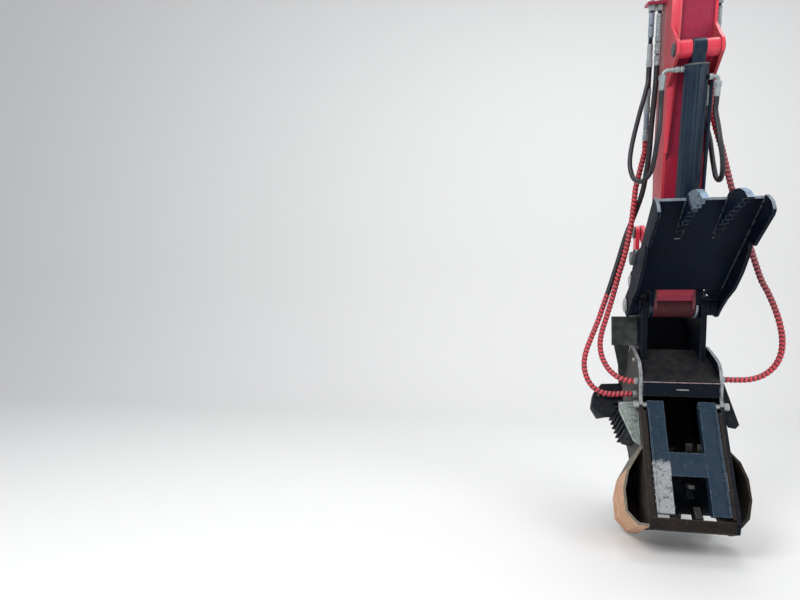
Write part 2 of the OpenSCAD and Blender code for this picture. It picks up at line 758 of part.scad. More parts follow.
// Gate, in a frame whose Y is inward from the hinge and whose Z runs up the slope
module gate() {
    half = gate_w / 2;
    color(black) on_gate() difference() {
        union() {
            for (side = [-1, 1]) {
                translate([side > 0 ? half - rail_w : -half, -16, -gate_len]) cube([rail_w, rail_d, gate_len + 16]);
                translate([side > 0 ? half - 8 : -half, -24, -gate_len]) cube([8, 24, gate_len - 26]);
            }
            translate([1 - half, -15, -window_h - crossbar_h]) cube([gate_w - 2, 16, crossbar_h]);
        }
        hole(gate_pin_r + run);
    }
}
module gate_pins() {
    color(steel) on_gate() {
        both_bars(gate_pin_r, gate_w / 2 - rail_w + 10, head_out + 26);
        both_bars(gate_pin_r + 6, head_out + 2, head_out + 24);
    }
}

// Drum
drum_half = head_half - 7;
ring_step = 2 * (drum_half - 26) / (tooth_rings - 1);
module on_drum() { on_head() translate([0, drum_axis.x, drum_axis.y]) children(); }
module each_tooth() {
    for (i = [0 : tooth_rings - 1]) for (k = [0 : ring_teeth - 1])
        translate([26 - drum_half + i * ring_step, 0, 0]) rotate([i * tooth_twist + k * 360 / ring_teeth, 0, 0]) children();
}
holder_len = 52;
module drum() {
    color(black) on_drum() {
        bar(drum_r, -drum_half, drum_half);
        bar(drum_shaft_r, -head_out + 2, guard_x + 20);
        each_tooth() translate([-15, -holder_len / 2, drum_r - 8]) cube([30, holder_len, 40]);
    }
}
module drum_teeth() {
    color(steel) on_drum() each_tooth() translate([-14, holder_len / 2 + seat, drum_r + 3]) cube([28, 16, drum_tip_r - drum_r - 6]);
}

// Hoses: points are from the nose pin
function unit(v) = v / norm(v);
function spline(p, i, t) =
    let (a = i > 0 ? p[i - 1] : 2 * p[0] - p[1], b = p[i], c = p[i + 1],
        d = i + 2 < len(p) ? p[i + 2] : 2 * p[len(p) - 1] - p[len(p) - 2])
    0.5 * (2 * b + (c - a) * t + (2 * a - 5 * b + 4 * c - d) * t * t + (3 * b - a - 3 * c + d) * t * t * t);
function smooth(p, k) = concat([for (i = [0 : len(p) - 2]) for (j = [0 : k - 1]) spline(p, i, j / k)], [p[len(p) - 1]]);
function heading(p, i) = unit(i == 0 ? p[1] - p[0] : i == len(p) - 1 ? p[i] - p[i - 1] : p[i + 1] - p[i - 1]);
function across(v, t) = unit(v - (v * t) * t);
function normals(p, i, v) = i == len(p) ? [] : let (n = across(v, heading(p, i))) concat([n], normals(p, i + 1, n));
module hose(points, d, k = 3, sides = 10) {
    p = smooth(points, k);
    n = normals(p, 0, [0.3, 1, 0.2]);
    m = len(p);
    rings = [for (i = [0 : m - 1]) let (t = heading(p, i), b = cross(t, n[i]))
        for (j = [0 : sides - 1]) let (a = 360 * j / sides) p[i] + (n[i] * cos(a) + b * sin(a)) * d / 2];
    walls = [for (i = [0 : m - 2]) for (j = [0 : sides - 1]) let (q = (j + 1) % sides)
        [i * sides + j, i * sides + q, (i + 1) * sides + q, (i + 1) * sides + j]];
    ends = [[for (j = [sides - 1 : -1 : 0]) j], [for (j = [0 : sides - 1]) (m - 1) * sides + j]];
    translate(nose) polyhedron(rings, concat(walls, ends), convexity = 10);
}
// A point of the stick's frame, from the nose pin
function off_stick(x, p) = let (q = turned(p, stick_lean)) [x, q.x, q.y];
function off_head(x, p) = let (q = turned(p, head_swing)) [x, q.x, q.y];
// A point of the thumb cylinder's line: x across, y along it and z off it
cyl_turn = atan2(thumb_lug.y - thumb_base.y, thumb_lug.x - thumb_base.x);
function off_cylinder(x, y, z) = off_stick(x, thumb_base + turned([y, z], cyl_turn));
// Unit vectors down the stick and down the thumb cylinder's line
down = [0, 0.259, -0.966];
on_cylinder = off_cylinder(0, 1, 0) - off_cylinder(0, 0, 0);
function column_foot(c, foot) = off_stick(c.x, [c.y, foot - seat]);
thumb_start = column_foot(left_cols[0], left_foot[0]);
outer_start = column_foot(left_cols[1], left_foot[1]);
inner_start = column_foot(left_cols[2], left_foot[2]);
right_start = column_foot(right_col, right_foot);
outer_end = off_head(-guard_x - port_len - seat, left_ports[0]);
inner_end = off_head(-guard_x - port_len - seat, left_ports[1]);
right_end = off_head(guard_x + port_len + seat, right_port);
left_elbow_end = off_cylinder(left_elbow.x, left_elbow.y + elbow_len + seat, left_elbow.z);
right_elbow_end = off_cylinder(right_elbow.x, right_elbow.y + elbow_len + seat, right_elbow.z);
belly_end = off_stick(belly_port.x - 2, [belly_port.y - 2, belly_port_z[0] - seat]);
route_left_outer = [
    outer_start, outer_start + down * 25, outer_start + down * 60, [-123, -205, 1000], [-129, -166, 866], [-133, -135, 744],
    [-142, -108, 650], [-156, -86, 560], [-184, -70, 470], [-226, -52, 355], [-265, -38, 217], [-304, -30, 87],
    [-334, -34, -2], [-363, -44, -85], [-396, -58, -165], [-422, -74, -232], [-434, -90, -298], [-424, -102, -360],
    [-394, -110, -409], [-348, -114, -436], [-300, -115, -442], outer_end - [48, 0, 1], outer_end - [22, 0, 0], outer_end
];
route_left_inner = [
    inner_start, inner_start + down * 22, inner_start + down * 50, [-158, -95, 712], [-174, -94, 645], [-189, -97, 580],
    [-198, -100, 500], [-215, -97, 371], [-239, -86, 250], [-266, -72, 149], [-294, -58, 35], [-320, -50, -58],
    [-344, -50, -141], [-353, -62, -205], [-344, -83, -267], [-317, -114, -320], [-275, -140, -356],
    inner_end - [24, 0, 0], inner_end - [12, 0, 0], inner_end
];
route_right = [
    right_start, right_start + down * 25, right_start + down * 60, [117, -276, 1090], [114, -260, 1000], [114, -257, 912],
    [128, -262, 830], [151, -268, 736], [166, -272, 663], [195, -268, 541], [238, -250, 405], [282, -235, 277],
    [335, -212, 130], [370, -205, 60], [400, -198, -10], [424, -192, -85], [437, -184, -155], [436, -173, -220],
    [417, -160, -278], [375, -146, -325], [318, -137, -349], right_end + [48, 0, 0], right_end + [22, 0, 0], right_end
];
route_thumb_left = [
    thumb_start, thumb_start + down * 25, thumb_start + down * 60, [-172, -222, 996], [-190, -209, 925], [-206, -199, 855],
    [-220, -194, 790], [-230, -194, 727], [-232, -199, 668], [-220, -226, 608], [-196, -284, 582], [-170, -342, 608],
    [-158, -370, 668], [-151, -386, 730], [-143, -398, 795], left_elbow_end + on_cylinder * 72,
    left_elbow_end + on_cylinder * 35, left_elbow_end
];
route_thumb_right = [
    right_elbow_end, right_elbow_end + on_cylinder * 25, right_elbow_end + on_cylinder * 60, [92, -424, 780], [99, -429, 712],
    [109, -423, 645], [116, -400, 588], [121, -347, 564], [121, -295, 588], [118, -272, 644], [111, -270, 700],
    [100, -283, 755], [84, -299, 806], belly_end + down * 50, belly_end + down * 22, belly_end
];
module hose_left_outer() { color(hose_red) hose(route_left_outer, work_hose_d); }
module hose_left_inner() { color(hose_red) hose(route_left_inner, work_hose_d); }
module hose_right() { color(hose_red) hose(route_right, work_hose_d); }
module hose_thumb_left() { color(black) hose(route_thumb_left, thumb_hose_d); }
module hose_thumb_right() { color(black) hose(route_thumb_right, thumb_hose_d); }

stick();
stick_sides();
bucket_bracket();
tail_bosses();
thumb_bracket_bosses();
nose_pin();
lever_pivot_pin();
bucket_base_pin();
thumb_base_pin();
left_bulkhead();
left_line_fittings();
left_line_tubes();
right_bulkhead();
right_line_fittings();
belly_fitting();
levers();
lever_link_pins();
link();
bucket_barrel();
bucket_rod();
thumb_barrel();
thumb_oil_tube();
thumb_left_elbow();
thumb_right_fitting();
thumb_rod();
thumb_plate();
thumb_walls();
thumb_tines();
thumb_ears();
thumb_rod_pins();
head_ears();
head_cross_plate();
link_pin();
head_side_left();
head_side_right();
head_deck();
head_front_wall();
head_lip();
edge_bars();
rotor_guard();
bearing_guard();
belt_cover();
guard_wings();
left_flange();
drum_motor();
drum_bearing();
head_ports();
gate();
gate_pins();
drum();
drum_teeth();
hose_left_outer();
hose_left_inner();
hose_right();
hose_thumb_left();
hose_thumb_right();
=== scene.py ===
import bpy
import bmesh
import json
import math
from mathutils import Matrix, Vector, noise


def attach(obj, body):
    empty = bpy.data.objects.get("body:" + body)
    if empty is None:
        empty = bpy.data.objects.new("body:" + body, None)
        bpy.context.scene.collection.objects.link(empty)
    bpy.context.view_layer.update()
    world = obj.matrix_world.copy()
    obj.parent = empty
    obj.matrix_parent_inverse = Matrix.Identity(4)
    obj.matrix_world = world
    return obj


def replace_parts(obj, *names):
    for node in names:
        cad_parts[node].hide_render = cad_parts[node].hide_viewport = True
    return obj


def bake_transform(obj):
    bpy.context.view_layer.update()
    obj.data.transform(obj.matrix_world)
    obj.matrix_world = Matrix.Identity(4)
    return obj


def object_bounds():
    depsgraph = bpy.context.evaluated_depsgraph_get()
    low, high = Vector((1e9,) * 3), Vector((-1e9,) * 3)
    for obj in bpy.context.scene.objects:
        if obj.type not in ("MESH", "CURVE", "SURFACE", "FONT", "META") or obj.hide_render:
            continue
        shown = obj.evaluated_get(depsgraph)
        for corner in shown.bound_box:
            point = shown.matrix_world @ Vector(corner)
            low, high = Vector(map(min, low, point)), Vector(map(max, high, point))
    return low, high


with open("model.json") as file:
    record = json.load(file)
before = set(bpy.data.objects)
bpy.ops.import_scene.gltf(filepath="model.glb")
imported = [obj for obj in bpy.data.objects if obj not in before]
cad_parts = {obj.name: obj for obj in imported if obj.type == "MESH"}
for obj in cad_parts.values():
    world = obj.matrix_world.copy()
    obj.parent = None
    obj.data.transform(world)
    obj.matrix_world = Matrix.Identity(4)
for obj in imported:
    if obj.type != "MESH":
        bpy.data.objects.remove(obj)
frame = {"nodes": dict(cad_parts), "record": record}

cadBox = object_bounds()
print("frame loaded:", len(frame["nodes"]), "nodes")
bodyOfNode = {node: body for body, nodes in frame["record"]["behaviour"]["bodies"].items() for node in nodes}


# Where the pieces are, in metres and degrees: the boom pivot is the origin
nosePin = Vector((0, 0.465874, -1.738667))
tilts = {"stick": 15, "head": 26, "thumb": 145.5, "gate": -52, "thumbLine": -89.11}
gateHinge = (0, -0.366, -0.355)  # in the head's frame
thumbLineFoot = (0, -0.156, 1.197)  # the thumb cylinder's eye, in the stick's frame


def turnX(degrees):
    return Matrix.Rotation(math.radians(degrees), 4, "X")


def shift(x, y, z):
    return Matrix.Translation((x, y, z))


def axisOf(place, x, y, z):
    return place.to_3x3() @ Vector((x, y, z))


stickFrame = Matrix.Translation(nosePin) @ turnX(tilts["stick"])
headFrame = Matrix.Translation(nosePin) @ turnX(tilts["head"])
thumbFrame = Matrix.Translation(nosePin) @ turnX(tilts["thumb"])
gateFrame = headFrame @ shift(*gateHinge) @ turnX(tilts["gate"])
thumbLineFrame = stickFrame @ shift(*thumbLineFoot) @ turnX(tilts["thumbLine"])
alongX = Matrix.Rotation(math.radians(90), 4, "Y")
alongY = turnX(-90)


def addObject(name, data):
    made = bpy.data.objects.new(name, data)
    bpy.context.scene.collection.objects.link(made)
    return made


# Camera: the photograph's eye point, level and turned a little to the left of the arm
cameraValues = {"place": (-0.753, -2.748, -1.711), "turn": 11.5, "lens": 26.55, "sensor": 36}
cameraData = bpy.data.cameras.new("viewCamera")
cameraData.lens = cameraValues["lens"]
cameraData.sensor_width = cameraValues["sensor"]
camera = addObject("viewCamera", cameraData)
camera.location = cameraValues["place"]
camera.rotation_euler = (math.radians(90), 0, math.radians(cameraValues["turn"]))
bpy.context.scene.camera = camera


# Node tools
def addNode(tree, kind, settings=None, values=None):
    node = tree.nodes.new(kind)
    for key, value in (settings or {}).items():
        setattr(node, key, value)
    for key, value in (values or {}).items():
        if isinstance(value, bpy.types.NodeSocket):
            tree.links.new(value, node.inputs[key])
        else:
            node.inputs[key].default_value = value
    return node


def noiseAt(tree, vector, scale, detail=4.0, roughness=0.55):
    values = {"Vector": vector, "Scale": scale, "Detail": detail, "Roughness": roughness}
    return addNode(tree, "ShaderNodeTexNoise", None, values).outputs["Fac"]


def ramp(tree, value, low, high):
    return addNode(tree, "ShaderNodeMapRange", {"interpolation_type": "SMOOTHSTEP"},
                   {"Value": value, "From Min": low, "From Max": high}).outputs["Result"]


def between(tree, value, low, high):
    values = {"Value": value, "To Min": low, "To Max": high}
    return addNode(tree, "ShaderNodeMapRange", None, values).outputs["Result"]


def maths(tree, operation, first, second=0.0, clamp=True):
    settings = {"operation": operation, "use_clamp": clamp}
    return addNode(tree, "ShaderNodeMath", settings, {0: first, 1: second}).outputs[0]


def product(tree, first, *others):
    for other in others:
        first = maths(tree, "MULTIPLY", first, other)
    return first


def objectPlace(tree):
    return tree.nodes.new("ShaderNodeTexCoord").outputs["Object"]


def axisPart(tree, vector, axis):
    return addNode(tree, "ShaderNodeSeparateXYZ", None, {0: vector}).outputs[axis]


def dotProduct(tree, first, second):
    settings = {"operation": "DOT_PRODUCT"}
    return addNode(tree, "ShaderNodeVectorMath", settings, {0: first, 1: second}).outputs["Value"]


def mixColour(tree, mask, first, second):
    # Each colour is a socket or three numbers
    values = {"Factor": mask}
    for slot, colour in ((6, first), (7, second)):
        values[slot] = colour if isinstance(colour, bpy.types.NodeSocket) else (*colour, 1)
    return addNode(tree, "ShaderNodeMix", {"data_type": "RGBA"}, values).outputs[2]


# Shader groups that the finishes share; each pair is the range over which a mask goes from 0 to 1
effects = {
    "blotches": {"detail": 6.0, "rough": 0.62, "spread": 0.24},
    "dustFilm": {"detail": 7.0, "rough": 0.7, "facing": (0.15, 0.85), "clouds": (0.3, 0.76), "least": 0.25},
    "edgeWear": {"detail": 5.0, "rough": 0.65, "samples": 6, "bend": (0.84, 0.985), "chips": (0.36, 0.62)},
    "scratches": {
        "ways": (((0.3, 0.2, 0.5), (420, 14, 380)), ((1.1, 0.4, 2.0), (380, 440, 12))),  # turn, stretch
        "width": (0.66, 0.8), "patchSize": 9.0, "patch": (0.42, 0.6)},
    "specks": {"dots": (0.12, 0.3), "chosen": (0.7, 0.74)},
    "grain": {"detail": 5.0, "rough": 0.7},
    "scraped": {
        "detail": 5.0, "size": 60.0, "rough": 0.65, "uneven": 0.1, "fade": 0.02, "sides": (-0.004, 0.0),
        "clouds": (0.3, 0.5), "speckleSize": 330.0, "speckleRough": 0.75, "speckles": (0.3, 0.7)},
}


def newGroup(name, inputs, outputs=("Mask",)):
    # Each input comes with its default: a number, or three of them for a direction
    tree = bpy.data.node_groups.new(name, "ShaderNodeTree")
    for label, default in inputs.items():
        kind = "NodeSocketVector" if isinstance(default, tuple) else "NodeSocketFloat"
        tree.interface.new_socket(label, in_out="INPUT", socket_type=kind).default_value = default
    for label in outputs:
        tree.interface.new_socket(label, in_out="OUTPUT", socket_type="NodeSocketFloat")
    return tree, tree.nodes.new("NodeGroupInput").outputs, tree.nodes.new("NodeGroupOutput").inputs


def buildBlotches(name, detail, rough, spread):
    # Patches of older and newer paint, from hand size down to a few millimetres
    tree, given, result = newGroup(name, {"Size": 14.0, "Cover": 0.5})
    broad = noiseAt(tree, objectPlace(tree), given["Size"], detail, rough)
    edge = maths(tree, "SUBTRACT", 1.0, given["Cover"])
    low, high = (maths(tree, operation, edge, spread) for operation in ("SUBTRACT", "ADD"))
    tree.links.new(ramp(tree, broad, low, high), result["Mask"])
    return tree


def buildDustFilm(name, detail, rough, facing, clouds, least):
    # Dust that lies on faces that look up, and a thin film elsewhere; on the arm's side plates the film is
    # also a painted sheen
    tree, given, result = newGroup(name, {"Top": 0.7, "Film": 0.2, "Size": 30.0})
    normal = tree.nodes.new("ShaderNodeNewGeometry").outputs["Normal"]
    upward = ramp(tree, axisPart(tree, normal, "Z"), *facing)
    cloud = ramp(tree, noiseAt(tree, objectPlace(tree), given["Size"], detail, rough), *clouds)
    lying = product(tree, upward, given["Top"], maths(tree, "ADD", cloud, least))
    tree.links.new(maths(tree, "MAXIMUM", lying, product(tree, cloud, given["Film"])), result["Mask"])
    return tree


def buildEdgeWear(name, detail, rough, samples, bend, chips):
    # Worn metal along the edges, broken up by noise
    tree, given, result = newGroup(name, {"Amount": 0.7, "Width": 0.004, "Break": 60.0})
    rounded = addNode(tree, "ShaderNodeBevel", {"samples": samples}, {"Radius": given["Width"]})
    flat = tree.nodes.new("ShaderNodeNewGeometry").outputs["True Normal"]
    alike = dotProduct(tree, rounded.outputs["Normal"], flat)
    edge = maths(tree, "SUBTRACT", 1.0, ramp(tree, alike, *bend))
    broken = ramp(tree, noiseAt(tree, objectPlace(tree), given["Break"], detail, rough), *chips)
    tree.links.new(product(tree, edge, broken, given["Amount"]), result["Mask"])
    return tree


def buildScratches(name, ways, width, patchSize, patch):
    # Fine scratches in two directions, in patches
    tree, given, result = newGroup(name, {"Amount": 0.5, "Size": 1.0})
    place = objectPlace(tree)
    lines = []
    for turn, stretch in ways:
        turned = {"Vector": place, "Rotation": turn, "Scale": stretch}
        mapped = addNode(tree, "ShaderNodeMapping", None, turned).outputs["Vector"]
        sized = {0: mapped, "Scale": given["Size"]}
        scaled = addNode(tree, "ShaderNodeVectorMath", {"operation": "SCALE"}, sized).outputs["Vector"]
        lines.append(ramp(tree, noiseAt(tree, scaled, 1.0, 2.0, 0.5), *width))
    patches = ramp(tree, noiseAt(tree, place, patchSize, 3.0), *patch)
    tree.links.new(product(tree, maths(tree, "MAXIMUM", *lines), patches, given["Amount"]), result["Mask"])
    return tree


def buildSpecks(name, dots, chosen):
    # Small splashes of mud and bits stuck to the surface
    tree, given, result = newGroup(name, {"Size": 120.0, "Amount": 0.5})
    settings = {"Vector": objectPlace(tree), "Scale": given["Size"], "Randomness": 1.0}
    cell = addNode(tree, "ShaderNodeTexVoronoi", {"feature": "F1"}, settings).outputs
    dot = maths(tree, "SUBTRACT", 1.0, ramp(tree, cell["Distance"], *dots))
    chance = addNode(tree, "ShaderNodeSeparateColor", None, {0: cell["Color"]}).outputs[0]
    tree.links.new(product(tree, dot, ramp(tree, chance, *chosen), given["Amount"]), result["Mask"])
    return tree


def buildGrain(name, detail, rough):
    # The fine unevenness of paint and steel, for a Bump node
    tree, given, result = newGroup(name, {"Size": 240.0}, ("Height",))
    tree.links.new(noiseAt(tree, objectPlace(tree), given["Size"], detail, rough), result["Height"])
    return tree


def buildScraped(name, detail, size, rough, uneven, fade, sides, clouds, speckleSize, speckleRough, speckles):
    # Bare, speckled metal from a distance down a line, on one side of the part's middle
    tree, given, result = newGroup(
        name, {"Along": (0.0, 0.0, 1.0), "Offset": 0.0, "Start": 0.3, "Limit": 0.0}, ("Mask", "Speckle"))
    place = objectPlace(tree)
    cloud = noiseAt(tree, place, size, detail, rough)
    run = maths(tree, "SUBTRACT", dotProduct(tree, place, given["Along"]), given["Offset"])
    middle = maths(tree, "SUBTRACT", given["Start"], uneven / 2)
    low = maths(tree, "ADD", product(tree, cloud, uneven), middle)
    past = {"Value": maths(tree, "SUBTRACT", run, low), "From Max": fade}
    begun = addNode(tree, "ShaderNodeMapRange", None, past).outputs["Result"]
    beside = maths(tree, "SUBTRACT", axisPart(tree, place, "X"), given["Limit"], clamp=False)
    sided = maths(tree, "SUBTRACT", 1.0, ramp(tree, beside, *sides))
    tree.links.new(product(tree, begun, sided, ramp(tree, cloud, *clouds)), result["Mask"])
    speckle = noiseAt(tree, place, speckleSize, detail, speckleRough)
    tree.links.new(ramp(tree, speckle, *speckles), result["Speckle"])
    return tree


builders = {
    "blotches": buildBlotches, "dustFilm": buildDustFilm, "edgeWear": buildEdgeWear,
    "scratches": buildScratches, "specks": buildSpecks, "grain": buildGrain, "scraped": buildScraped}
groups = {name: build(name, **effects[name]) for name, build in builders.items()}
print("shader groups built:", len(groups))


def useGroup(tree, name, **values):
    return addNode(tree, "ShaderNodeGroup", {"node_tree": groups[name]}, values).outputs


def newMaterial(name):
    material = bpy.data.materials.new(name)
    material.use_nodes = True
    return material, material.node_tree, material.node_tree.nodes["Principled BSDF"]
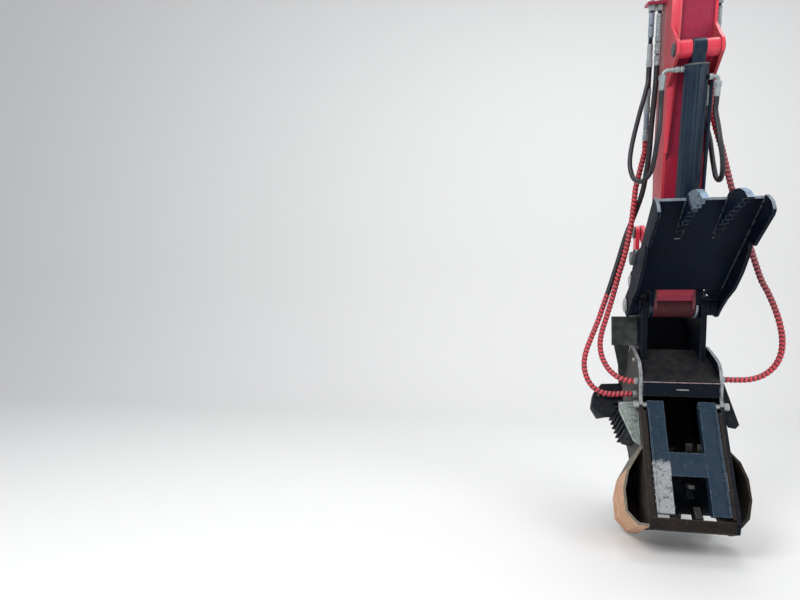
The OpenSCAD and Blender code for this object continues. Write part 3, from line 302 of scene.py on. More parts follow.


# Worn finishes: two paints that mix in blotches of a size and a cover, and then the colour and the amount of
# the dust, worn edges, scratches and specks. One height is where the dust begins, which on the side plates is
# also a painted sheen; the other is where a painted shade near the nose ends, with the shade's colour;
# and like names the finish that gives what isn't said
finishDefaults = {
    "top": 0.4, "edgeWidth": 0.004, "edgeBreak": 55.0, "dustSize": 28.0, "speckSize": 70.0,
    "metal": 0.0, "coat": 0.0, "coatRough": 0.3, "grainSize": 240.0, "bumpDepth": 0.004}
# The blue cast in the black and grey paints below stands in for sky light: painted light
finishes = {
    "armRed": {
        "paint": ((0.33, 0.013, 0.052), (0.24, 0.012, 0.042)), "blotches": (5, 0.42),
        "dustAndSheen": ((0.3, 0.12, 0.13), 0.1), "edge": ((0.7, 0.05, 0.075), 0.6),
        "scratch": ((0.5, 0.09, 0.1), 0.12), "speck": ((0.05, 0.015, 0.02), 0.8), "rough": (0.4, 0.62),
        "coat": 0.08, "shine": 0.3, "bump": 0.04},
    # Painted highlight: a brighter copy of the arm's red for faces that catch the light; near the nose it is
    # darkened again, a painted shade
    "edgeRed": {
        "paint": ((0.66, 0.03, 0.06), (0.5, 0.028, 0.06)), "blotches": (9, 0.4), "shadedBelow": (-1.7, -1.56),
        "noseShade": (0.09, 0.009, 0.016), "dustAndSheen": ((0.5, 0.2, 0.2), 0.1), "edge": ((0.85, 0.12, 0.14), 0.5),
        "scratch": ((0.6, 0.1, 0.1), 0.1), "speck": ((0.1, 0.02, 0.02), 0.4), "rough": (0.36, 0.55),
        "coat": 0.15, "shine": 0.4, "bump": 0.03},
    "coverRed": {
        "like": "armRed", "paint": ((0.42, 0.015, 0.045), (0.3, 0.013, 0.038)),
        "dustAndSheen": ((0.35, 0.12, 0.12), 0.08), "speck": ((0.05, 0.015, 0.02), 0.6), "rough": (0.38, 0.6)},
    "wornLine": {
        "paint": ((0.34, 0.24, 0.23), (0.12, 0.08, 0.08)), "blotches": (40, 0.45),
        "dustAndSheen": ((0.2, 0.17, 0.15), 0.2), "top": 0.3, "edge": ((0.6, 0.55, 0.52), 0.4),
        "scratch": ((0.5, 0.45, 0.42), 0.2), "speck": ((0.05, 0.03, 0.03), 0.4), "rough": (0.5, 0.7),
        "shine": 0.3, "bump": 0.05},
    # Painted light: the side plates' red is a paler copy of the arm's paint, and its pinkish film higher up
    # the arm is dust and a painted sheen of sky light at a grazing angle
    "skyLitSideRed": {
        "paint": ((0.42, 0.026, 0.042), (0.34, 0.04, 0.05)), "blotches": (4, 0.45), "skyLitFrom": (-1.25, -0.5),
        "dustAndSheen": ((0.26, 0.13, 0.125), 0.42), "edge": ((0.8, 0.06, 0.075), 0.8),
        "scratch": ((0.5, 0.12, 0.12), 0.15), "speck": ((0.05, 0.02, 0.02), 0.6), "rough": (0.42, 0.65),
        "coat": 0.08, "shine": 0.35, "bump": 0.04},
    # Painted shade: a darkened copy of the arm's red for the nose, which lies in the thumb's shade
    "shadedRed": {
        "paint": ((0.085, 0.008, 0.015), (0.035, 0.009, 0.013)), "blotches": (12, 0.5),
        "dustAndSheen": ((0.09, 0.04, 0.04), 0.25), "edge": ((0.3, 0.04, 0.05), 0.6),
        "scratch": ((0.3, 0.1, 0.1), 0.3), "speck": ((0.012, 0.01, 0.01), 0.8), "rough": (0.5, 0.75),
        "shine": 0.25, "bump": 0.08},
    # The pale lines along the cylinder are painted reflections
    "cylinderBlack": {
        "paint": ((0.001, 0.009, 0.026), (0.002, 0.014, 0.036)), "blotches": (6, 0.42),
        "sheenStreaks": (0.07, 0.11, 0.12), "dustAndSheen": ((0.04, 0.052, 0.062), 0.1), "edge": ((0.15, 0.19, 0.22), 0.6),
        "scratch": ((0.05, 0.07, 0.085), 0.15), "speck": ((0.06, 0.07, 0.075), 0.3), "rough": (0.3, 0.5),
        "coat": 0.18, "shine": 0.22, "bump": 0.015},
    "linkageBlack": {
        "paint": ((0.004, 0.007, 0.011), (0.009, 0.012, 0.015)), "blotches": (9, 0.45),
        "dustAndSheen": ((0.06, 0.055, 0.05), 0.1), "top": 0.5, "edge": ((0.13, 0.14, 0.15), 0.6),
        "scratch": ((0.07, 0.075, 0.08), 0.15), "speck": ((0.07, 0.065, 0.05), 0.35), "rough": (0.5, 0.72),
        "shine": 0.15, "bump": 0.05},
    "thumbSteel": {
        "paint": ((0.001, 0.005, 0.016), (0.004, 0.005, 0.009)), "blotches": (7, 0.44),
        "dustAndSheen": ((0.024, 0.021, 0.02), 0.1), "edge": ((0.2, 0.22, 0.24), 0.85),
        "scratch": ((0.035, 0.04, 0.048), 0.25), "speck": ((0.05, 0.045, 0.04), 0.3), "rough": (0.55, 0.75),
        "shine": 0.09, "bump": 0.07},
    # The thumb's end faces: a pale bluish grey that stands in for the light on them, a painted highlight,
    # with worn edges and scratches
    "litWornLip": {
        "paint": ((0.17, 0.22, 0.27), (0.055, 0.068, 0.08)), "blotches": (26, 0.46),
        "dustAndSheen": ((0.22, 0.24, 0.25), 0.2), "edge": ((0.42, 0.46, 0.5), 0.9),
        "scratch": ((0.4, 0.42, 0.44), 0.5), "speck": ((0.03, 0.03, 0.03), 0.7), "rough": (0.45, 0.7),
        "metal": 0.1, "shine": 0.3, "bump": 0.12},
    # The tines' front faces: a pale blue that stands in for the light on them, a painted highlight, with worn
    # edges and scratches
    "tineTip": {
        "like": "litWornLip", "paint": ((0.17, 0.28, 0.4), (0.08, 0.12, 0.17)),
        "dustAndSheen": ((0.26, 0.31, 0.36), 0.2), "edge": ((0.46, 0.52, 0.58), 0.9),
        "scratch": ((0.4, 0.44, 0.48), 0.4), "bump": 0.1},
    "headBlack": {
        "paint": ((0.001, 0.004, 0.01), (0.004, 0.005, 0.009)), "blotches": (9, 0.44),
        "dustAndSheen": ((0.045, 0.04, 0.036), 0.06), "top": 0.6, "edge": ((0.17, 0.19, 0.22), 0.75),
        "scratch": ((0.05, 0.055, 0.065), 0.25), "speck": ((0.07, 0.06, 0.05), 0.4), "rough": (0.5, 0.72),
        "shine": 0.1, "bump": 0.07},
    "sideDusty": {
        "paint": ((0.028, 0.027, 0.025), (0.075, 0.07, 0.062)), "blotches": (8, 0.48),
        "dustAndSheen": ((0.12, 0.105, 0.095), 0.22), "top": 0.6, "edge": ((0.16, 0.15, 0.14), 0.8),
        "scratch": ((0.16, 0.16, 0.15), 0.35), "speck": ((0.012, 0.011, 0.01), 0.7), "rough": (0.6, 0.82),
        "shine": 0.18, "bump": 0.12},
    "rimWorn": {
        "paint": ((0.33, 0.35, 0.37), (0.07, 0.075, 0.08)), "blotches": (16, 0.42),
        "dustAndSheen": ((0.2, 0.2, 0.19), 0.15), "top": 0.3, "edge": ((0.6, 0.64, 0.67), 0.9),
        "scratch": ((0.55, 0.57, 0.58), 0.5), "speck": ((0.03, 0.03, 0.03), 0.6), "rough": (0.45, 0.7),
        "shine": 0.3, "bump": 0.1},
    "guardRust": {
        "paint": ((0.6, 0.36, 0.22), (0.46, 0.2, 0.1)), "blotches": (15, 0.45),
        "dustAndSheen": ((0.62, 0.48, 0.37), 0.35), "top": 0.5, "edge": ((0.6, 0.45, 0.34), 0.6),
        "scratch": ((0.55, 0.4, 0.3), 0.35), "speck": ((0.05, 0.022, 0.014), 0.9), "rough": (0.6, 0.88),
        "shine": 0.2, "bump": 0.25},
    "guardTan": {
        "paint": ((0.17, 0.155, 0.125), (0.09, 0.07, 0.05)), "blotches": (18, 0.46),
        "dustAndSheen": ((0.22, 0.21, 0.18), 0.3), "top": 0.6, "edge": ((0.4, 0.37, 0.32), 0.7),
        "scratch": ((0.3, 0.28, 0.24), 0.35), "speck": ((0.04, 0.03, 0.02), 0.9), "rough": (0.6, 0.88),
        "shine": 0.2, "bump": 0.2},
    "hoodBrown": {
        "paint": ((0.008, 0.007, 0.006), (0.024, 0.016, 0.012)), "blotches": (10, 0.46),
        "dustAndSheen": ((0.05, 0.042, 0.034), 0.12), "top": 0.7, "edge": ((0.14, 0.12, 0.1), 0.7),
        "scratch": ((0.07, 0.055, 0.045), 0.3), "speck": ((0.1, 0.08, 0.06), 0.6), "rough": (0.6, 0.85),
        "shine": 0.15, "bump": 0.2},
    "wingGrey": {
        "paint": ((0.26, 0.31, 0.285), (0.03, 0.04, 0.036)), "blotches": (62, 0.46),
        "dustAndSheen": ((0.42, 0.45, 0.41), 0.3), "top": 0.5, "edge": ((0.72, 0.75, 0.74), 0.95), "edgeWidth": 0.009,
        "scratch": ((0.5, 0.52, 0.5), 0.5), "speck": ((0.015, 0.015, 0.015), 0.95), "rough": (0.5, 0.78),
        "shine": 0.25, "bump": 0.12},
    "flangeDark": {
        "paint": ((0.024, 0.032, 0.033), (0.09, 0.1, 0.092)), "blotches": (20, 0.42),
        "dustAndSheen": ((0.13, 0.14, 0.12), 0.25), "top": 0.5, "edge": ((0.35, 0.38, 0.38), 0.9),
        "scratch": ((0.16, 0.18, 0.17), 0.3), "speck": ((0.012, 0.012, 0.012), 0.7), "rough": (0.55, 0.8),
        "shine": 0.18, "bump": 0.12},
    # The gate's black paint, with a blue cast that stands in for sky light
    "gateSkyTinted": {
        "paint": ((0.005, 0.021, 0.042), (0.009, 0.028, 0.053)), "blotches": (8, 0.42),
        "dustAndSheen": ((0.08, 0.09, 0.1), 0.1), "edge": ((0.26, 0.31, 0.36), 0.85),
        "scratch": ((0.1, 0.13, 0.16), 0.25), "speck": ((0.2, 0.2, 0.18), 0.35), "rough": (0.45, 0.65),
        "shine": 0.18, "bump": 0.06,
        "scraped": {"place": gateFrame, "along": (0, 0, -1), "start": 0.262, "limit": -0.074,
                    "dark": (0.16, 0.165, 0.17), "light": (0.43, 0.44, 0.45)}},
    "bareSteel": {
        "paint": ((0.4, 0.41, 0.42), (0.2, 0.2, 0.2)), "blotches": (30, 0.4),
        "dustAndSheen": ((0.2, 0.19, 0.17), 0.25), "edge": ((0.68, 0.69, 0.7), 0.7),
        "scratch": ((0.6, 0.6, 0.6), 0.4), "speck": ((0.1, 0.06, 0.04), 0.4), "rough": (0.3, 0.55),
        "metal": 0.6, "shine": 0.5, "bump": 0.05},
    "darkSteel": {
        "paint": ((0.045, 0.05, 0.055), (0.1, 0.105, 0.105)), "blotches": (24, 0.45),
        "dustAndSheen": ((0.12, 0.12, 0.11), 0.25), "edge": ((0.4, 0.42, 0.43), 0.8),
        "scratch": ((0.25, 0.26, 0.27), 0.4), "speck": ((0.02, 0.02, 0.02), 0.5), "rough": (0.4, 0.65),
        "metal": 0.3, "shine": 0.4, "bump": 0.06},
    "platedSteel": {
        "paint": ((0.32, 0.38, 0.4), (0.2, 0.235, 0.24)), "blotches": (45, 0.42),
        "dustAndSheen": ((0.26, 0.27, 0.25), 0.3), "edge": ((0.72, 0.75, 0.76), 0.7),
        "scratch": ((0.6, 0.62, 0.62), 0.3), "speck": ((0.06, 0.06, 0.055), 0.6), "rough": (0.34, 0.6),
        "metal": 0.3, "shine": 0.5, "bump": 0.05},
    "toothSteel": {
        "paint": ((0.12, 0.12, 0.12), (0.06, 0.052, 0.046)), "blotches": (40, 0.5),
        "dustAndSheen": ((0.14, 0.12, 0.1), 0.3), "edge": ((0.5, 0.5, 0.5), 0.95), "scratch": ((0.4, 0.4, 0.4), 0.5),
        "speck": ((0.08, 0.05, 0.035), 0.5), "rough": (0.4, 0.7), "metal": 0.4, "shine": 0.4, "bump": 0.12},
    "sleeveGrey": {
        "paint": ((0.2, 0.255, 0.33), (0.13, 0.165, 0.21)), "blotches": (30, 0.42),
        "dustAndSheen": ((0.27, 0.29, 0.3), 0.3), "edge": ((0.4, 0.43, 0.47), 0.5),
        "scratch": ((0.3, 0.33, 0.37), 0.2), "speck": ((0.05, 0.05, 0.05), 0.6), "rough": (0.5, 0.7),
        "shine": 0.35, "bump": 0.03},
    "tineSteel": {
        "like": "thumbSteel",
        "scraped": {"place": thumbFrame, "along": (0, 1, 0), "start": 0.785, "limit": -0.02,
                    "dark": (0.05, 0.07, 0.09), "light": (0.2, 0.26, 0.31)}},
}
sheenStreakValues = {"scale": (0.009, 1.6, 0.009), "detail": 3.0, "width": (0.54, 0.72), "amount": 0.32}


def paintedSheenMask(tree):
    # Painted highlight: pale lines that run along the thumb's cylinder, standing in for the lights'
    # reflections
    stretched = addNode(tree, "ShaderNodeMapping", {"vector_type": "TEXTURE"}, {
        "Vector": objectPlace(tree), "Rotation": thumbLineFrame.to_euler(), "Scale": sheenStreakValues["scale"]})
    lines = noiseAt(tree, stretched.outputs["Vector"], 1.0, sheenStreakValues["detail"])
    return product(tree, ramp(tree, lines, *sheenStreakValues["width"]), sheenStreakValues["amount"])


def scrapedColour(tree, colour, values):
    along = axisOf(values["place"], *values["along"])
    scraped = useGroup(tree, "scraped", Along=along, Offset=values["place"].translation.dot(along),
                       Start=values["start"], Limit=values["limit"])
    bare = mixColour(tree, scraped["Speckle"], values["dark"], values["light"])
    return mixColour(tree, scraped["Mask"], colour, bare)


def wornFinish(name, given):
    values = finishDefaults | finishes.get(given.get("like"), {}) | given
    material, tree, shader = newMaterial(name)
    size, cover = values["blotches"]
    blotches = useGroup(tree, "blotches", Size=size, Cover=cover)["Mask"]
    scratchColour, amount = values["scratch"]
    scratches = useGroup(tree, "scratches", Amount=amount, Size=1.0)["Mask"]
    speckColour, amount = values["speck"]
    specks = useGroup(tree, "specks", Size=values["speckSize"], Amount=amount)["Mask"]
    dustAndSheenColour, film = values["dustAndSheen"]
    dustAndSheen = useGroup(tree, "dustFilm", Top=values["top"], Film=film, Size=values["dustSize"])["Mask"]
    edgeColour, amount = values["edge"]
    width, gap = values["edgeWidth"], values["edgeBreak"]
    edge = useGroup(tree, "edgeWear", Amount=amount, Width=width, Break=gap)["Mask"]
    grain = useGroup(tree, "grain", Size=values["grainSize"])["Height"]
    # On the side plates the film only grows higher up: dust and a painted sheen
    if "skyLitFrom" in values:
        dustAndSheen = product(tree, dustAndSheen, ramp(tree, axisPart(tree, objectPlace(tree), "Z"), *values["skyLitFrom"]))
    colour = mixColour(tree, blotches, *values["paint"])
    for mask, over in ((scratches, scratchColour), (specks, speckColour), (dustAndSheen, dustAndSheenColour)):
        colour = mixColour(tree, mask, colour, over)
    # Painted shade: below these heights the colour darkens towards the nose
    if "shadedBelow" in values:
        unshaded = ramp(tree, axisPart(tree, objectPlace(tree), "Z"), *values["shadedBelow"])
        colour = mixColour(tree, unshaded, values["noseShade"], colour)
    # Painted highlight: pale lines along the cylinder
    if "sheenStreaks" in values:
        colour = mixColour(tree, paintedSheenMask(tree), colour, values["sheenStreaks"])
    if "scraped" in values:
        colour = scrapedColour(tree, colour, values["scraped"])
    tree.links.new(mixColour(tree, edge, colour, edgeColour), shader.inputs["Base Color"])
    rough = between(tree, maths(tree, "MAXIMUM", blotches, dustAndSheen), *values["rough"])
    tree.links.new(rough, shader.inputs["Roughness"])
    for label, key in (("Metallic", "metal"), ("Coat Weight", "coat"), ("Coat Roughness", "coatRough"),
                       ("Specular IOR Level", "shine")):
        shader.inputs[label].default_value = values[key]
    bump = {"Height": grain, "Strength": values["bump"], "Distance": values["bumpDepth"]}
    tree.links.new(addNode(tree, "ShaderNodeBump", None, bump).outputs["Normal"], shader.inputs["Normal"])
    return material


chromeValues = {"bright": (0.56, 0.57, 0.59), "dull": (0.4, 0.4, 0.4), "size": 18.0, "cover": 0.4,
                "rough": (0.12, 0.3)}


def chromeFinish():
    values = chromeValues
    material, tree, shader = newMaterial("rodChrome")
    smear = useGroup(tree, "blotches", Size=values["size"], Cover=values["cover"])["Mask"]
    tree.links.new(mixColour(tree, smear, values["bright"], values["dull"]), shader.inputs["Base Color"])
    tree.links.new(between(tree, smear, *values["rough"]), shader.inputs["Roughness"])
    shader.inputs["Metallic"].default_value = 1.0
    return material


hoseValues = {
    # The duller pink colour and where it reaches are a painted shade
    "guard": (0.62, 0.03, 0.045), "faded": (0.42, 0.028, 0.05), "upperShade": (0.22, 0.07, 0.08),
    "guardDust": (0.5, 0.22, 0.2), "gap": (0.045, 0.008, 0.014),
    "rubber": (0.008, 0.009, 0.014), "rubberDust": (0.045, 0.046, 0.055),
    "upperShadeX": (0.1, 0.2), "upperShadeZ": (-2.0, -1.5), "upperShadeMost": 0.75, "crest": (0.2, 0.75),
    "rough": 0.48, "fading": {"Size": 16.0, "Cover": 0.45},
    "onGuard": {"Top": 0.45, "Film": 0.18, "Size": 40.0},
    "onRubber": {"Top": 0.5, "Film": 0.35, "Size": 22.0}}


def hoseFinish():
    # The meshes say where the spiral guard is, and where on it the rib's crest is
    values = hoseValues
    material, tree, shader = newMaterial("hoseGuard")
    rib, guard = (addNode(tree, "ShaderNodeAttribute", {"attribute_name": name}).outputs["Fac"]
                  for name in ("rib", "guard"))
    faded = useGroup(tree, "blotches", **values["fading"])["Mask"]
    guardDust = useGroup(tree, "dustFilm", **values["onGuard"])["Mask"]
    rubberDust = useGroup(tree, "dustFilm", **values["onRubber"])["Mask"]
    place = objectPlace(tree)
    # Painted shade: higher up on the right, the guard's red turns a duller pink
    upperShade = product(tree, ramp(tree, axisPart(tree, place, "X"), *values["upperShadeX"]),
                       ramp(tree, axisPart(tree, place, "Z"), *values["upperShadeZ"]), values["upperShadeMost"])
    colour = mixColour(tree, faded, values["guard"], values["faded"])
    colour = mixColour(tree, upperShade, colour, values["upperShade"])
    colour = mixColour(tree, guardDust, colour, values["guardDust"])
    ribbed = mixColour(tree, ramp(tree, rib, *values["crest"]), values["gap"], colour)
    rubber = mixColour(tree, rubberDust, values["rubber"], values["rubberDust"])
    tree.links.new(mixColour(tree, guard, rubber, ribbed), shader.inputs["Base Color"])
    shader.inputs["Roughness"].default_value = values["rough"]
    return material


materials = {name: wornFinish(name, values) for name, values in finishes.items()}
materials["rodChrome"] = chromeFinish()
materials["hoseGuard"] = hoseFinish()
print("materials built:", len(materials))


# Mesh tools
def makePiece(name, mesh, material, body, cord=False):
    # material is one name, or several in the order of the mesh's material numbers
    piece = addObject(name, mesh)
    for each in [material] if isinstance(material, str) else material:
        mesh.materials.append(materials[each])
    if not cord:
        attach(piece, body)
    return piece


def meshFrom(bm, name, angle=38):
    bmesh.ops.recalc_face_normals(bm, faces=bm.faces)
    mesh = bpy.data.meshes.new(name)
    bm.to_mesh(mesh)
    bm.free()
    mesh.shade_smooth()
    mesh.set_sharp_from_angle(angle=math.radians(angle))
    return mesh


def finishPiece(bm, name, material, body, angle=38):
    return makePiece(name, meshFrom(bm, name, angle), material, body)


meshValues = {"merge": 0.00002, "flatAngle": 0.8, "bevelProfile": 0.6, "beadStep": 1.3, "beadRough": 0.18,
              "beadGrain": 90}


def bevelSharp(bm, width, segments=2, angle=30):
    sharp = [e for e in bm.edges if len(e.link_faces) == 2 and e.calc_face_angle() > math.radians(angle)]
    bmesh.ops.bevel(bm, geom=sharp, offset=width, offset_type="OFFSET", segments=segments, affect="EDGES",
                    profile=meshValues["bevelProfile"], clamp_overlap=True, material=-1)


def roundedNode(node, name, material, width, nodeZones):
    # A CAD node with its edges rounded, in place of the node; each zone's faces get a material of their own
    bm = bmesh.new()
    bm.from_mesh(frame["nodes"][node].data)
    bmesh.ops.remove_doubles(bm, verts=bm.verts, dist=meshValues["merge"])
    flat = math.radians(meshValues["flatAngle"])
    bmesh.ops.dissolve_limit(bm, angle_limit=flat, verts=bm.verts, edges=bm.edges)
    if nodeZones:
        bm.normal_update()
    for index, (_, inZone) in enumerate(nodeZones, 1):
        for face in filter(inZone, bm.faces):
            face.material_index = index
    bevelSharp(bm, width)
    piece = finishPiece(bm, name, (material, *(each for each, _ in nodeZones)), bodyOfNode[node])
    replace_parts(piece, node)
    piece.modifiers.new("evenNormals", "WEIGHTED_NORMAL").keep_sharp = True


def joinRings(bm, rings, index=0):
    # Faces from ring to ring, and one over each end
    faces = []
    for first, second in zip(rings, rings[1:]):
        for j, k in enumerate([*range(1, len(first)), 0]):
            faces.append(bm.faces.new((first[j], first[k], second[k], second[j])))
    faces += [bm.faces.new(list(reversed(rings[0]))), bm.faces.new(rings[-1])]
    for face in faces:
        face.material_index = index


def turnedSolid(bm, place, profile, sides=20, index=0):
    # (distance, radius) pairs turned about the place's Z axis; six sides make a nut
    turns = [math.tau * j / sides for j in range(sides)]
    rings = [[bm.verts.new(place @ Vector((r * math.cos(turn), r * math.sin(turn), z))) for turn in turns]
             for z, r in profile]
    joinRings(bm, rings, index)


def eased(length, radius, cut, ease=0.0015):
    # The profile of a bar or a nut whose ends step in by the cut
    return [(0, radius - cut), (ease, radius), (length - ease, radius), (length, radius - cut)]


def plateSolid(bm, place, outline, thickness, width=0.001):
    # An outline in the place's XY plane, raised along its Z axis, with its edges broken
    part = bmesh.new()
    low = [part.verts.new((x, y, 0)) for x, y in outline]
    high = [part.verts.new((x, y, thickness)) for x, y in outline]
    part.faces.new(list(reversed(low)))
    part.faces.new(high)
    for j in range(len(outline)):
        k = (j + 1) % len(outline)
        part.faces.new((low[j], low[k], high[k], high[j]))
    bmesh.ops.recalc_face_normals(part, faces=part.faces)
    bevelSharp(part, width, 1)
    merged = {vert: bm.verts.new(place @ vert.co) for vert in part.verts}
    for face in part.faces:
        bm.faces.new([merged[vert] for vert in face.verts])
    part.free()


def alongLine(points, normal):
    # Each point of a line, with two directions across it that don't twist
    for k, point in enumerate(points):
        ahead = (points[min(k + 1, len(points) - 1)] - points[max(k - 1, 0)]).normalized()
        normal = (normal - normal.dot(ahead) * ahead).normalized()
        yield point, normal, ahead.cross(normal)


def bentTube(bm, points, radius, sides=14):
    # A tube along straight runs and arcs that are given as points
    turns = [math.tau * j / sides for j in range(sides)]
    joinRings(bm, [
        [bm.verts.new(point + (normal * math.cos(turn) + side * math.sin(turn)) * radius) for turn in turns]
        for point, normal, side in alongLine(points, Vector((0.31, 0.2, 0.93)))])


def weldBead(bm, place, start, end, radius, index=0):
    # A row of overlapping low mounds from start to end
    start, end = place @ Vector(start), place @ Vector(end)
    count = max(2, round((end - start).length / (radius * meshValues["beadStep"])))
    for k in range(count + 1):
        centre = start.lerp(end, k / count)
        size = radius * (1 + meshValues["beadRough"] * noise.noise(centre * meshValues["beadGrain"]))
        made = bmesh.ops.create_icosphere(bm, subdivisions=1, radius=size, matrix=Matrix.Translation(centre))
        for face in {face for vert in made["verts"] for face in vert.link_faces}:
            face.material_index = index


# Hoses: the route points are those of the part's solids, from the nose pin, in millimetres
def splinePoint(points, index, t):
    a = points[index - 1] if index > 0 else 2 * points[0] - points[1]
    b, c = points[index], points[index + 1]
    d = points[index + 2] if index + 2 < len(points) else 2 * points[-1] - points[-2]
    bend, twist = 2 * a - 5 * b + 4 * c - d, 3 * b - a - 3 * c + d
    return 0.5 * (2 * b + (c - a) * t + bend * t * t + twist * t * t * t)


def evenPath(points, step, parts=40):
    # Points at even steps along the spline, which is first cut into parts between each two points
    fine = [splinePoint(points, i, k / parts) for i in range(len(points) - 1) for k in range(parts)]
    fine.append(points[-1])
    lengths = [0.0]
    for first, second in zip(fine, fine[1:]):
        lengths.append(lengths[-1] + (second - first).length)
    count = max(8, round(lengths[-1] / step))
    path, index = [], 0
    for k in range(count + 1):
        target = lengths[-1] * k / count
        while index < len(fine) - 2 and lengths[index + 1] < target:
            index += 1
        span = lengths[index + 1] - lengths[index]
        path.append(fine[index].lerp(fine[index + 1], (target - lengths[index]) / span if span else 0))
    return path, lengths[-1]


hoseShape = {"sides": 20, "groove": 0.0112, "crest": 0.0144, "land": 0.76, "power": 0.5}
hoseKinds = {
    "head": {"plain": 0.0125, "pitch": 0.02, "step": 0.0042, "diameter": 0.027},
    "thumb": {"plain": 0.0108, "pitch": 0.024, "step": 0.012, "diameter": 0.022, "guardFrom": math.inf}}


def hoseMesh(name, path, length, values):
    # guardFrom is how far along the hose its spiral guard begins
    bm = bmesh.new()
    ribLayer = bm.verts.layers.float.new("rib")
    guardLayer = bm.verts.layers.float.new("guard")
    rings = []
    for k, (point, normal, side) in enumerate(alongLine(path, Vector((0.3, 1, 0.2)))):
        run = length * k / (len(path) - 1)
        guarded = values["guardFrom"] <= run
        ring = []
        for j in range(values["sides"]):
            angle = math.tau * j / values["sides"]
            crest, radius = 0.0, values["plain"]
            if guarded:
                phase = (angle / math.tau + run / values["pitch"]) % 1.0
                crest = max(0.0, math.sin(math.pi * min(1.0, phase / values["land"]))) ** values["power"]
                radius = values["groove"] + (values["crest"] - values["groove"]) * crest
            vert = bm.verts.new(point + (normal * math.cos(angle) + side * math.sin(angle)) * radius)
            vert[ribLayer] = crest
            vert[guardLayer] = 1.0 if guarded else 0.0
            ring.append(vert)
        rings.append(ring)
    joinRings(bm, rings)
    return meshFrom(bm, name, 60)


def fromPin(place, x, y, z):
    return (place @ Vector((x, y, z))) - nosePin


def leaving(start, way, *steps):
    return [start, *(start + way * step for step in steps)]


def route(start, middle, end):
    return [Vector(p) + nosePin for p in start + [tuple(c / 1000 for c in p) for p in middle] + end]


down = Vector((0, 0.259, -0.966))
onCylinder = fromPin(thumbLineFrame, 0, 1, 0) - fromPin(thumbLineFrame, 0, 0, 0)
leftElbowEnd = fromPin(thumbLineFrame, -0.137, 0.1643, 0)
rightElbowEnd = fromPin(thumbLineFrame, 0.082, 0.2043, -0.034)
outerEnd = fromPin(headFrame, -0.2066, -0.295, -0.343)
innerEnd = fromPin(headFrame, -0.2066, -0.296, -0.265)
rightEnd = fromPin(headFrame, 0.2066, -0.276, -0.259)
bellyEnd = fromPin(stickFrame, 0.07, -0.086, 0.9597)
hoses = {
    "headHoseLeftOuter": {
        "node": "hose_left_outer", "kind": "head", "joined": ("stick", "head"), "guardFrom": 1.13,
        "route": route(
            leaving(fromPin(stickFrame, -0.12, 0.06, 1.1587), down, 0.025, 0.06),
            [(-123, -205, 1000), (-129, -166, 866), (-133, -135, 744), (-142, -108, 650), (-156, -86, 560),
             (-184, -70, 470), (-226, -52, 355), (-265, -38, 217), (-304, -30, 87), (-334, -34, -2),
             (-363, -44, -85), (-396, -58, -165), (-422, -74, -232), (-434, -90, -298), (-424, -102, -360),
             (-394, -110, -409), (-348, -114, -436), (-300, -115, -442)],
            [outerEnd - Vector((0.048, 0, 0.001)), outerEnd - Vector((0.022, 0, 0)), outerEnd])},
    "headHoseLeftInner": {
        "node": "hose_left_inner", "kind": "head", "joined": ("stick", "head"), "guardFrom": 0.0,
        "route": route(
            leaving(fromPin(stickFrame, -0.146, 0.102, 0.8167), down, 0.022, 0.05),
            [(-158, -95, 712), (-174, -94, 645), (-189, -97, 580), (-198, -100, 500), (-215, -97, 371),
             (-239, -86, 250), (-266, -72, 149), (-294, -58, 35), (-320, -50, -58), (-344, -50, -141),
             (-353, -62, -205), (-344, -83, -267), (-317, -114, -320), (-275, -140, -356)],
            [innerEnd - Vector((0.024, 0, 0)), innerEnd - Vector((0.012, 0, 0)), innerEnd])},
    "headHoseRight": {
        "node": "hose_right", "kind": "head", "joined": ("stick", "head"), "guardFrom": 0.0,
        "route": route(
            leaving(fromPin(stickFrame, 0.122, 0.02, 1.2817), down, 0.025, 0.06),
            [(117, -276, 1090), (114, -260, 1000), (114, -257, 912), (128, -262, 830), (151, -268, 736),
             (166, -272, 663), (195, -268, 541), (238, -250, 405), (282, -235, 277), (335, -212, 130),
             (370, -205, 60), (400, -198, -10), (424, -192, -85), (437, -184, -155), (436, -173, -220),
             (417, -160, -278), (375, -146, -325), (318, -137, -349)],
            [rightEnd + Vector((0.048, 0, 0)), rightEnd + Vector((0.022, 0, 0)), rightEnd])},
    "thumbHoseLeft": {
        "node": "hose_thumb_left", "kind": "thumb", "joined": ("stick", "thumb_barrel"),
        "route": route(
            leaving(fromPin(stickFrame, -0.154, 0.06, 1.1547), down, 0.025, 0.06),
            [(-172, -222, 996), (-190, -209, 925), (-206, -199, 855), (-220, -194, 790), (-230, -194, 727),
             (-232, -199, 668), (-220, -226, 608), (-196, -284, 582), (-170, -342, 608), (-158, -370, 668),
             (-151, -386, 730), (-143, -398, 795)],
            leaving(leftElbowEnd, onCylinder, 0.035, 0.072)[::-1])},
    "thumbHoseRight": {
        "node": "hose_thumb_right", "kind": "thumb", "joined": ("thumb_barrel", "stick"),
        "route": route(
            leaving(rightElbowEnd, onCylinder, 0.025, 0.06),
            [(92, -424, 780), (99, -429, 712), (109, -423, 645), (116, -400, 588), (121, -347, 564),
             (121, -295, 588), (118, -272, 644), (111, -270, 700), (100, -283, 755), (84, -299, 806)],
            leaving(bellyEnd, down, 0.022, 0.05)[::-1])},
}
for name, values in hoses.items():
    shape = hoseShape | hoseKinds[values["kind"]] | values
    path, length = evenPath(shape["route"], shape["step"])
    piece = makePiece(name, hoseMesh(name, path, length, shape), "hoseGuard", None, cord=True)
    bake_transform(piece)
    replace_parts(piece, values["node"])
    print("hose", name, round(length, 3), "m")


